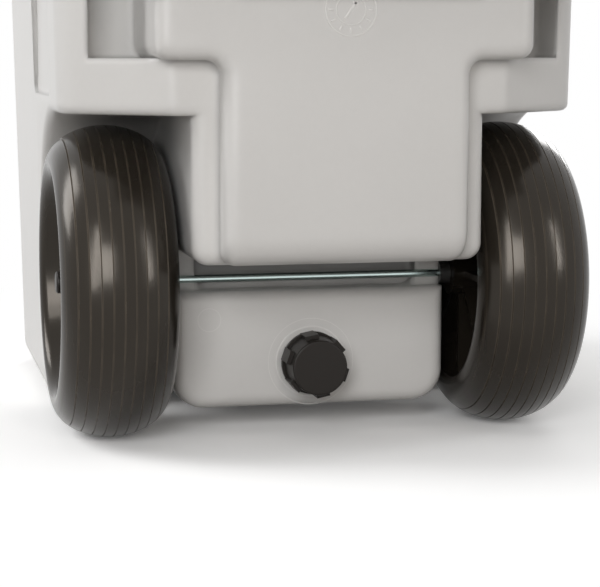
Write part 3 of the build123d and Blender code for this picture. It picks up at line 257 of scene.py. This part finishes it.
class Value:
    """An output socket; arithmetic on it adds Math nodes to its tree."""

    def __init__(self, graph, socket):
        self.graph = graph
        self.socket = socket

    def maths(self, operation, first, second=0.0):
        """Add a Math node."""
        return self.graph.add("ShaderNodeMath", {"operation": operation}, {0: first, 1: second})

    def __add__(self, other):
        return self.maths("ADD", self, other)

    def __radd__(self, other):
        return self.maths("ADD", other, self)

    def __sub__(self, other):
        return self.maths("SUBTRACT", self, other)

    def __rsub__(self, other):
        return self.maths("SUBTRACT", other, self)

    def __mul__(self, other):
        return self.maths("MULTIPLY", self, other)

    def __rmul__(self, other):
        return self.maths("MULTIPLY", other, self)

    def __truediv__(self, other):
        return self.maths("DIVIDE", self, other)

    def __pow__(self, other):
        return self.maths("POWER", self, other)

    def __abs__(self):
        return self.maths("ABSOLUTE", self)


class Graph:
    """The node tree of one material or world."""

    def __init__(self, owner):
        owner.use_nodes = True
        self.owner = owner
        self.tree = owner.node_tree
        self.tree.nodes.clear()

    def add(self, kind, settings=None, inputs=None, output=0):
        """Add a node: its settings first, then the values or links of its sockets."""
        node = self.tree.nodes.new(kind)
        for key, setting in (settings or {}).items():
            setattr(node, key, setting)
        for key, value in (inputs or {}).items():
            if isinstance(value, Value):
                self.tree.links.new(value.socket, node.inputs[key])
            else:
                node.inputs[key].default_value = value
        return Value(self, node.outputs[output]) if node.outputs else None

    def place(self):
        """Object coordinates of the surface."""
        return self.add("ShaderNodeTexCoord", output="Object")

    def split(self, vector):
        """The X, Y and Z of a vector."""
        first = self.add("ShaderNodeSeparateXYZ", None, {0: vector})
        return [Value(self, socket) for socket in first.socket.node.outputs]

    def noise(self, vector, scale, detail=2.0, roughness=0.5):
        """Plain noise with a given number of cells to the metre."""
        return self.add(
            "ShaderNodeTexNoise", None,
            {"Vector": vector, "Scale": scale, "Detail": detail, "Roughness": roughness},
        )

    def seen(self):
        """One where the camera, a mirror or clear glass looks, and nought for diffuse light."""
        path = self.add("ShaderNodeLightPath", output="Is Camera Ray")
        outputs = path.socket.node.outputs
        glossy = Value(self, outputs["Is Glossy Ray"])
        through = Value(self, outputs["Is Transmission Ray"])
        return path.maths("MAXIMUM", path, path.maths("MAXIMUM", glossy, through))

    def tint(self, first, second, factor):
        """Mix of two colours, each a plain one or a socket."""
        ends = [end if isinstance(end, Value) else (*end, 1.0) for end in (first, second)]
        return self.add("ShaderNodeMix", {"data_type": "RGBA"}, {0: factor, 6: ends[0], 7: ends[1]}, output=2)

    def mottle(self, swatch, factor, darkest, lightest):
        """A colour that wanders between a darker and a lighter shade of itself."""
        return self.tint(shaded(swatch, darkest), shaded(swatch, lightest), factor)

    def ramp(self, value, start, end, first=0.0, last=1.0, blend="SMOOTHSTEP"):
        """Step from one level at the start to another at the end."""
        return self.add(
            "ShaderNodeMapRange", {"interpolation_type": blend},
            {0: value, 1: start, 2: end, 3: first, 4: last},
        )

    def bump(self, height, strength, distance, normal=None):
        """Normal bent by a height."""
        inputs = {"Height": height, "Strength": strength, "Distance": distance}
        if normal:
            inputs["Normal"] = normal
        return self.add("ShaderNodeBump", None, inputs)

    def surface(self, inputs):
        """Finish the material with a Principled shader and hand it back."""
        shader = self.add("ShaderNodeBsdfPrincipled", None, inputs)
        self.add("ShaderNodeOutputMaterial", None, {"Surface": shader})
        return self.owner


def shaded(swatch, share):
    """A colour made lighter or darker by a share."""
    return tuple(min(1.0, channel * share) for channel in swatch)


def slot_painted_shade(graph, place):
    """One deep in the axle slot, where painted shade darkens the colour, and nought everywhere else."""
    across, along, upward = graph.split(place)

    def step(value, ends, origin=0.0):
        return graph.ramp(value, origin + ends[0], origin + ends[1])

    deep = step(along, SLOT_SHADE_MOUTH, AXLE_MIDDLE.y) * step(along, SLOT_SHADE_BACK, AXLE_MIDDLE.y)
    raised = step(upward, SLOT_SHADE_FLOOR, AXLE_MIDDLE.z) * step(upward, SLOT_SHADE_ROOF, AXLE_MIDDLE.z)
    return deep * raised * step(abs(across), SLOT_SHADE_SIDE)


def moulded(name, swatch, rough, grain, ripple, specular=0.5, edge=0.0, painted_shade=None):
    """Moulded plastic: slight cloudiness, a fine grain, the slow ripple of a blown wall, soft edges and,
    where a mask is given, painted shade.
    """
    graph = Graph(bpy.data.materials.new(name))
    place = graph.place()
    cloud = graph.noise(place, scale=11.0, detail=3.0)
    speck = graph.noise(place, scale=210.0)
    fine = graph.noise(place, scale=1500.0)
    slow = graph.noise(place, scale=17.0, detail=1.0)
    soft = graph.add("ShaderNodeBevel", {"samples": 6}, {"Radius": edge}) if edge else None
    slow_normal = graph.bump(slow, strength=0.5, distance=ripple, normal=soft)
    tone = graph.mottle(swatch, 0.7 * cloud + 0.3 * speck, darkest=0.955, lightest=1.045)
    # Painted shade: where the mask is one, the colour turns to a dark share of the swatch
    if painted_shade:
        tone = graph.tint(tone, shaded(swatch, SLOT_SHADE_SHARE), painted_shade(graph, place))
    return graph.surface({
        "Base Color": tone,
        "Roughness": rough - ROUGH_DROP + 0.08 * cloud + 0.04 * speck,
        "Specular IOR Level": specular,
        "Normal": graph.bump(fine, strength=0.35, distance=grain, normal=slow_normal),
    })


def turned_plastic(name, swatch, rough, sizes):
    """Dark wheel plastic: fine rings left by the mould run round the axle, and the groove lips carry a
    painted highlight.
    """
    graph = Graph(bpy.data.materials.new(name))
    place = graph.place()
    centred = graph.add(
        "ShaderNodeMapping", None, {"Vector": place, "Location": (0.0, -AXLE_MIDDLE.y, -AXLE_MIDDLE.z)}
    )
    across, along, upward = graph.split(centred)
    radius = (along * along + upward * upward) ** 0.5
    rings = graph.add(
        "ShaderNodeCombineXYZ", None, {0: across * RINGS_ACROSS, 1: radius * RINGS_OUTWARD, 2: 0.0}
    )
    streak = graph.noise(rings, scale=1.0, detail=3.0, roughness=0.6)
    offset = (abs(across) - TREAD_MIDDLE_X) / sizes.groove_pitch
    lane = (offset.maths("FRACT", offset + LANES_BEFORE) - 0.5) * sizes.groove_pitch
    cloud = graph.noise(place, scale=24.0, detail=3.0)
    patch = graph.noise(place, scale=38.0)
    near_lip = graph.ramp(abs(lane), sizes.groove_lip, sizes.groove_lip + LIP_HIGHLIGHT_FADE, first=1.0, last=0.0)
    on_tread = graph.ramp(radius, TREAD_START, TREAD_FULL, blend="LINEAR")
    # Painted highlight: lighter, patchy groove lips on the tread
    highlit = near_lip * on_tread * (patch * LIP_HIGHLIGHT)
    fine = graph.noise(place, scale=1100.0)
    fine_normal = graph.bump(fine, strength=0.12, distance=0.06 * MM)
    plain = graph.mottle(swatch, 0.5 * streak + 0.5 * cloud, darkest=0.82, lightest=1.2)
    return graph.surface({
        "Base Color": graph.tint(plain, shaded(swatch, LIP_HIGHLIGHT_SHARE), highlit),
        "Roughness": rough - ROUGH_DROP + 0.08 * streak + 0.05 * cloud + 0.06 * highlit,
        "Specular IOR Level": 0.34,
        "Specular Tint": (1.0, 0.91, 0.81, 1.0),
        "Normal": graph.bump(streak, strength=0.16, distance=0.10 * MM, normal=fine_normal),
    })


def plated(name, swatch, rough, stretch):
    """Drawn or plated metal with fine lines along its length."""
    graph = Graph(bpy.data.materials.new(name))
    place = graph.place()
    drawn = graph.add("ShaderNodeMapping", None, {"Vector": place, "Scale": stretch})
    line = graph.noise(drawn, scale=1.0, detail=3.0, roughness=0.6)
    cloud = graph.noise(place, scale=60.0)
    return graph.surface({
        "Base Color": graph.mottle(swatch, 0.6 * line + 0.4 * cloud, darkest=0.8, lightest=1.12),
        "Metallic": 1.0,
        "Roughness": rough - ROUGH_DROP + 0.12 * line,
        "Normal": graph.bump(line, strength=0.12, distance=0.05 * MM),
    })


def soft_rubber(name, swatch):
    """Matt rubber with a pebbled skin."""
    graph = Graph(bpy.data.materials.new(name))
    place = graph.place()
    pebble = graph.add("ShaderNodeTexVoronoi", None, {"Vector": place, "Scale": 900.0})
    cloud = graph.noise(place, scale=40.0, detail=3.0)
    return graph.surface({
        "Base Color": graph.mottle(swatch, cloud, darkest=0.75, lightest=1.35),
        "Roughness": 0.62 + 0.16 * cloud,
        "Specular IOR Level": 0.35,
        "Normal": graph.bump(pebble, strength=0.35, distance=0.25 * MM),
    })


def foam_skin(name, swatch):
    """Rigid foam with open cells."""
    graph = Graph(bpy.data.materials.new(name))
    place = graph.place()
    cell = graph.add("ShaderNodeTexVoronoi", None, {"Vector": place, "Scale": 420.0})
    cloud = graph.noise(place, scale=30.0, detail=3.0)
    return graph.surface({
        "Base Color": graph.mottle(swatch, 0.5 * cell + 0.5 * cloud, darkest=0.8, lightest=1.1),
        "Roughness": 0.82 + 0.1 * cloud,
        "Normal": graph.bump(cell, strength=0.5, distance=0.6 * MM),
    })


def deselect():
    """Leave nothing selected, in object mode."""
    if bpy.context.object and bpy.context.object.mode != "OBJECT":
        bpy.ops.object.mode_set(mode="OBJECT")
    bpy.ops.object.select_all(action="DESELECT")


def soften(piece, width):
    """Round the edges of the active piece and smooth its shading."""
    bevel = piece.modifiers.new("Soft edge", "BEVEL")
    bevel.width = width
    bevel.segments = ROUND_STEPS
    bpy.ops.object.modifier_apply(modifier=bevel.name)
    bpy.ops.object.shade_smooth_by_angle(angle=RELIEF_ANGLE)


def annulus(name, middle, radius, width, relief):
    """Low raised ring on an upright face that looks along -Y."""
    deselect()
    bpy.ops.mesh.primitive_circle_add(
        vertices=RING_SIDES, radius=radius + width / 2, fill_type="NGON",
        location=middle, rotation=(pi / 2, 0, 0),
    )
    ring = bpy.context.object
    ring.name = name
    bpy.ops.object.transform_apply(location=True, rotation=True, scale=True)
    bpy.ops.object.mode_set(mode="EDIT")
    bpy.ops.mesh.select_all(action="SELECT")
    bpy.ops.mesh.inset(thickness=width, depth=0)
    bpy.ops.mesh.delete(type="FACE")
    bpy.ops.mesh.select_all(action="SELECT")
    bpy.ops.mesh.extrude_region_move(TRANSFORM_OT_translate={"value": (0, -relief, 0)})
    bpy.ops.mesh.select_all(action="SELECT")
    bpy.ops.mesh.normals_make_consistent(inside=False)
    bpy.ops.object.mode_set(mode="OBJECT")
    soften(ring, relief * RING_ROUND)
    return ring


def block(name, middle, size, turn=0.0):
    """Small bevelled bar on an upright face, turned about Y."""
    deselect()
    bpy.ops.mesh.primitive_cube_add(size=1.0, location=middle, rotation=(0, turn, 0), scale=size)
    bar = bpy.context.object
    bar.name = name
    bpy.ops.object.transform_apply(location=True, rotation=True, scale=True)
    soften(bar, min(size) * BAR_ROUND)
    return bar


def joined(name, pieces):
    """Join pieces into the first one."""
    deselect()
    for piece in pieces:
        piece.select_set(True)
    bpy.context.view_layer.objects.active = pieces[0]
    bpy.ops.object.join()
    pieces[0].name = name
    return pieces[0]


def dress(piece, material, body):
    """Give a new piece its material, in a slot of its own, and the body that it rides on."""
    piece.data.materials.clear()
    piece.data.materials.append(material)
    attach(piece, body)


class COOLER_OT_finishes(bpy.types.Operator):
    """Give every carried-over node its finish"""

    bl_idname = "cooler.finishes"
    bl_label = "Finishes"

    def execute(self, context):
        """Make each finish once and hand it to its nodes."""
        swatch = context.scene.cooler_colours
        sizes = context.scene.cooler_sizes
        finishes = (
            # Shell plastic, with painted shade that darkens its colour deep in the axle slot
            (SCENE_ONLY, moulded(
                "shell_plastic", swatch.shell, rough=0.33, grain=0.08 * MM, ripple=0.5 * MM,
                edge=9 * MM, painted_shade=slot_painted_shade,
            )),
            # Raised dial and rings: a lighter copy of the shell plastic, a painted highlight on the relief
            (SCENE_ONLY, moulded(
                "lit_relief_plastic", shaded(swatch.shell, 1.12), rough=0.32, grain=0.04 * MM, ripple=0.2 * MM,
            )),
            (LID_NODES, moulded(
                "lid_plastic", swatch.shell, rough=0.60, grain=0.22 * MM, ripple=0.4 * MM,
                specular=0.28, edge=4 * MM,
            )),
            (LINER_NODES, moulded(
                "liner_plastic", swatch.liner, rough=0.50, grain=0.05 * MM, ripple=0.3 * MM, specular=0.25,
            )),
            (FOAM_NODES, foam_skin("rigid_foam", swatch.foam)),
            (WHEEL_NODES, turned_plastic("wheel_plastic", swatch.wheel, rough=0.21, sizes=sizes)),
            (CAP_NODES, moulded(
                "cap_plastic", swatch.cap, rough=0.42, grain=0.10 * MM, ripple=0.1 * MM,
                specular=0.22, edge=0.5 * MM,
            )),
            (BLACK_NODES, moulded(
                "black_plastic", swatch.black, rough=0.44, grain=0.14 * MM, ripple=0.1 * MM,
            )),
            (LEAF_NODES, moulded(
                "hinge_plastic", swatch.leaf, rough=0.40, grain=0.12 * MM, ripple=0.1 * MM,
            )),
            (RUBBER_NODES, soft_rubber("grip_rubber", swatch.rubber)),
            (ROD_NODES, plated("rod_zinc", swatch.rod, rough=0.20, stretch=(8.0, 2400.0, 2400.0))),
            (ZINC_NODES, plated("zinc_plating", swatch.zinc, rough=0.30, stretch=(700.0, 700.0, 700.0))),
            (TUBE_NODES, plated("drawn_tube", swatch.tube, rough=0.34, stretch=(900.0, 900.0, 40.0))),
        )
        for nodes, material in finishes:
            for name in nodes:
                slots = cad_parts[name].material_slots
                if not slots:
                    raise RuntimeError(f"{name} has no material slot")
                for slot in slots:
                    slot.material = material
        return {"FINISHED"}


class COOLER_OT_shell_skin(bpy.types.Operator):
    """Join the shell's wall solids to one continuous skin"""

    bl_idname = "cooler.shell_skin"
    bl_label = "Shell skin"

    def execute(self, context):
        """Copy the shell, merge its triangles and take out the faces inside its joints."""
        sizes = context.scene.cooler_sizes
        skin = bpy.data.objects.new("shell_skin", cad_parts["outer_shell"].data.copy())
        context.scene.collection.objects.link(skin)
        deselect()
        skin.select_set(True)
        context.view_layer.objects.active = skin
        bpy.ops.mesh.customdata_custom_splitnormals_clear()
        bpy.ops.object.mode_set(mode="EDIT")
        bpy.ops.mesh.select_mode(type="FACE")
        bpy.ops.mesh.select_all(action="SELECT")
        bpy.ops.mesh.remove_doubles(threshold=MERGE_GAP)
        bpy.ops.mesh.select_all(action="DESELECT")
        bpy.ops.object.mode_set(mode="OBJECT")
        points = skin.data.vertices
        for face in skin.data.polygons:
            level = all(abs(points[i].co.z - sizes.seam_height) < MERGE_GAP for i in face.vertices)
            upright = all(abs(points[i].co.y - sizes.seam_place) < MERGE_GAP for i in face.vertices)
            face.select = level or upright
        bpy.ops.object.mode_set(mode="EDIT")
        bpy.ops.mesh.delete(type="FACE")
        bpy.ops.mesh.select_all(action="SELECT")
        bpy.ops.mesh.remove_doubles(threshold=WELD_GAP)
        bpy.ops.mesh.select_mode(type="VERT")
        bpy.ops.object.mode_set(mode="OBJECT")
        bpy.ops.object.shade_smooth_by_angle(angle=SKIN_ANGLE)
        dress(skin, bpy.data.materials["shell_plastic"], "tub")
        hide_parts("outer_shell")
        return {"FINISHED"}


class COOLER_OT_grips(bpy.types.Operator):
    """Model the ribbed rubber sleeves of both handles"""

    bl_idname = "cooler.grips"
    bl_label = "Grips"

    def profile(self, run, radius, bore, sizes):
        """Steps along the sleeve, each with the radius of the ring that it ends on."""
        rib = sizes.rib_pitch
        ribs = int((run - 2 * rib) / rib)
        collar = (run - ribs * rib) / 2 - 2 * GRIP_CHAMFER
        valley = radius - sizes.rib_rise
        rim = radius - GRIP_CHAMFER
        steps = [(0, rim), (GRIP_CHAMFER, radius), (collar, radius), (GRIP_CHAMFER, valley)]
        for _ in range(ribs):
            steps += [(rib * share, radius if on_top else valley) for share, on_top in RIB_PROFILE]
        steps += [(GRIP_CHAMFER, radius), (collar, radius), (GRIP_CHAMFER, rim), (0, bore), (-run, bore)]
        return steps

    def sleeve(self, node, bore, sizes):
        """Sleeve along X, drawn out ring by ring from a circle."""
        low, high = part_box(node)
        middle = (low + high) / 2
        deselect()
        bpy.ops.mesh.primitive_circle_add(
            vertices=GRIP_SIDES, radius=bore, location=(low.x, middle.y, middle.z), rotation=(0, pi / 2, 0)
        )
        sleeve = bpy.context.object
        sleeve.name = node + "_ribbed"
        bpy.ops.object.transform_apply(location=True, rotation=True, scale=True)
        bpy.ops.object.mode_set(mode="EDIT")
        bpy.ops.mesh.select_mode(type="VERT")
        bpy.ops.mesh.select_all(action="SELECT")
        at, last = low.x, bore
        for step, ring in self.profile(high.x - low.x, (high.z - low.z) / 2, bore, sizes):
            bpy.ops.mesh.extrude_region_move(TRANSFORM_OT_translate={"value": (step, 0, 0)})
            at += step
            scale = ring / last
            bpy.ops.transform.resize(value=(1, scale, scale), center_override=(at, middle.y, middle.z))
            last = ring
        bpy.ops.mesh.select_all(action="SELECT")
        bpy.ops.mesh.remove_doubles(threshold=MERGE_GAP)
        bpy.ops.mesh.normals_make_consistent(inside=False)
        bpy.ops.object.mode_set(mode="OBJECT")
        bpy.ops.object.shade_smooth_by_angle(angle=GRIP_ANGLE)
        return sleeve

    def execute(self, context):
        """One sleeve on each handle, in place of the plain ones."""
        sizes = context.scene.cooler_sizes
        for node, body, bore in GRIPS:
            sleeve = self.sleeve(node, bore, sizes)
            dress(sleeve, bpy.data.materials["grip_rubber"], body)
            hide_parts(node)
        return {"FINISHED"}


class COOLER_OT_mould_dial(bpy.types.Operator):
    """Model the plain mould dial on the end pad"""

    bl_idname = "cooler.mould_dial"
    bl_label = "Mould dial"

    def execute(self, context):
        """Ring, inner ring, ticks and a pointer, joined to one relief."""
        sizes = context.scene.cooler_sizes
        middle = Vector((0.0, SHELL_LOW.y, sizes.dial_height))
        radius = sizes.dial_radius
        relief = sizes.dial_relief

        def bar(name, out, width, long, turn):
            """Bar whose inner half lies in the wall, some way out from the middle."""
            spot = middle + radius * out * Vector((sin(turn), 0.0, cos(turn)))
            return block(name, spot, (radius * width, relief * 2, radius * long), turn)

        pieces = [
            annulus("mould_dial", middle, radius, radius * DIAL_EDGE, relief),
            annulus("dial_inner", middle, radius * INNER_RADIUS, radius * INNER_EDGE, relief),
        ]
        for index in range(sizes.dial_ticks):
            angle = 2 * pi * index / sizes.dial_ticks
            pieces.append(bar("dial_tick", TICK_PLACE, TICK_WIDTH, TICK_LENGTH, angle))
        pieces.append(bar("dial_pointer", 0.0, POINTER_WIDTH, POINTER_LENGTH, POINTER_TURN))
        pieces.append(bar("dial_tip", TIP_PLACE, TIP_WIDTH, TIP_LENGTH, POINTER_TURN))
        dial = joined("mould_dial", pieces)
        dress(dial, bpy.data.materials["lit_relief_plastic"], "tub")
        return {"FINISHED"}


class COOLER_OT_panel_rings(bpy.types.Operator):
    """Model the fine rings on the drain panel"""

    bl_idname = "cooler.panel_rings"
    bl_label = "Panel rings"

    def execute(self, context):
        """Rings round the drain and the round mark of a mould pin."""
        sizes = context.scene.cooler_sizes
        radius, width, relief = sizes.ring_radius, sizes.ring_width, sizes.relief
        nut_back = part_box("drain_nut")[1].y
        drain = Vector((DRAIN_MIDDLE.x, nut_back, DRAIN_MIDDLE.z))
        mark = Vector((MARK_X, nut_back, MARK_Z))
        rings = (
            annulus("drain_ring", drain, radius, width, relief),
            annulus(
                "drain_outer_ring", drain, radius * OUTER_RADIUS, width * OUTER_WIDTH, relief * OUTER_RELIEF
            ),
            annulus("panel_pin_mark", mark, sizes.mark_radius, sizes.mark_width, relief * MARK_RELIEF),
        )
        for ring in rings:
            dress(ring, bpy.data.materials["lit_relief_plastic"], "tub")
        return {"FINISHED"}


class COOLER_OT_stage(bpy.types.Operator):
    """Set up the floor, the light and the camera"""

    bl_idname = "cooler.stage"
    bl_label = "Stage"

    def floor(self, studio):
        """Pale floor that keeps the shadow and turns plain white with distance."""
        deselect()
        bpy.ops.mesh.primitive_plane_add(size=FLOOR_SIZE, location=(0, 0, 0))
        floor = bpy.context.object
        floor.name = "studio_floor"
        material = bpy.data.materials.new("studio_floor")
        graph = Graph(material)
        shade = graph.tint(studio.floor_bounce, studio.floor_shade, graph.seen())
        matt = graph.add("ShaderNodeBsdfDiffuse", None, {"Color": shade})
        white = graph.add("ShaderNodeEmission", None, {"Color": (*WHITE, 1.0), "Strength": 1.0})
        reach = graph.add("ShaderNodeVectorMath", {"operation": "LENGTH"}, {0: graph.place()}, output="Value")
        glow = graph.ramp(reach, studio.floor_near, studio.floor_far, first=studio.floor_lift)
        mixed = graph.add("ShaderNodeMixShader", None, {0: graph.seen() * glow, 1: matt, 2: white})
        graph.add("ShaderNodeOutputMaterial", None, {"Surface": mixed})
        floor.data.materials.append(material)

    def world(self, scene, studio):
        """Even light from all round, seen as white."""
        if not scene.world:
            scene.world = bpy.data.worlds.new("studio")
        graph = Graph(scene.world)
        seen = graph.seen()
        strength = seen + (1.0 - seen) * studio.sky
        tint = graph.tint(studio.air, WHITE, seen)
        shade = graph.add("ShaderNodeBackground", None, {"Color": tint, "Strength": strength})
        graph.add("ShaderNodeOutputWorld", None, {"Surface": shade})

    def lamp(self, plan):
        """Rectangular lamp that looks at the cooler's middle."""
        deselect()
        bpy.ops.object.light_add(type="AREA", location=plan.place)
        lamp = bpy.context.object
        lamp.name = plan.name
        lamp.data.shape = "RECTANGLE"
        lamp.data.size, lamp.data.size_y = plan.size
        lamp.data.energy = plan.power
        lamp.data.color = plan.tint
        lamp.visible_diffuse = plan.lights
        lamp.visible_glossy = plan.shines
        aim = LAMP_AIM - Vector(plan.place)
        lamp.rotation_euler = aim.to_track_quat("-Z", "Y").to_euler()

    def camera(self, scene, studio):
        """Camera that sees the wheel end as the photograph does."""
        deselect()
        turn = (pi / 2 - studio.tilt, 0, studio.heading)
        bpy.ops.object.camera_add(location=studio.eye, rotation=turn)
        camera = bpy.context.object
        camera.data.sensor_fit = "HORIZONTAL"
        camera.data.sensor_width = studio.sensor
        camera.data.lens = studio.lens
        camera.data.shift_x, camera.data.shift_y = studio.shift
        scene.camera = camera

    def execute(self, context):
        """Floor, world, lamps and camera."""
        scene = context.scene
        studio = scene.cooler_studio
        self.floor(studio)
        self.world(scene, studio)
        for plan in LAMPS:
            self.lamp(plan)
        self.camera(scene, studio)
        scene.view_settings.view_transform = "Standard"
        return {"FINISHED"}


STEPS = (
    COOLER_OT_finishes,
    COOLER_OT_shell_skin,
    COOLER_OT_grips,
    COOLER_OT_mould_dial,
    COOLER_OT_panel_rings,
    COOLER_OT_stage,
)


class COOLER_PT_panel(bpy.types.Panel):
    """Sidebar panel with the colours, the sizes and the steps"""

    bl_idname = "COOLER_PT_panel"
    bl_label = "Wheeled Cooler"
    bl_space_type = "VIEW_3D"
    bl_region_type = "UI"
    bl_category = "Cooler"

    def draw(self, context):
        """List every property and operator."""
        layout = self.layout
        for group in (context.scene.cooler_colours, context.scene.cooler_sizes, context.scene.cooler_studio):
            box = layout.box()
            for key in group.__annotations__:
                box.prop(group, key)
        for step in STEPS:
            layout.operator(step.bl_idname)


GROUPS = (CoolerColours, CoolerSizes, CoolerStudio)


def register():
    """Register the classes and hang the properties on the scene."""
    for item in (*GROUPS, *STEPS, COOLER_PT_panel):
        bpy.utils.register_class(item)
    bpy.types.Scene.cooler_colours = PointerProperty(type=CoolerColours)
    bpy.types.Scene.cooler_sizes = PointerProperty(type=CoolerSizes)
    bpy.types.Scene.cooler_studio = PointerProperty(type=CoolerStudio)


def unregister():
    """Take the properties and the classes away again."""
    del bpy.types.Scene.cooler_studio
    del bpy.types.Scene.cooler_sizes
    del bpy.types.Scene.cooler_colours
    for item in (COOLER_PT_panel, *reversed(STEPS), *reversed(GROUPS)):
        bpy.utils.unregister_class(item)


def main():
    """Build everything in order."""
    register()
    bpy.ops.cooler.finishes()
    bpy.ops.cooler.shell_skin()
    bpy.ops.cooler.grips()
    bpy.ops.cooler.mould_dial()
    bpy.ops.cooler.panel_rings()
    bpy.ops.cooler.stage()


if __name__ == "__main__":
    main()
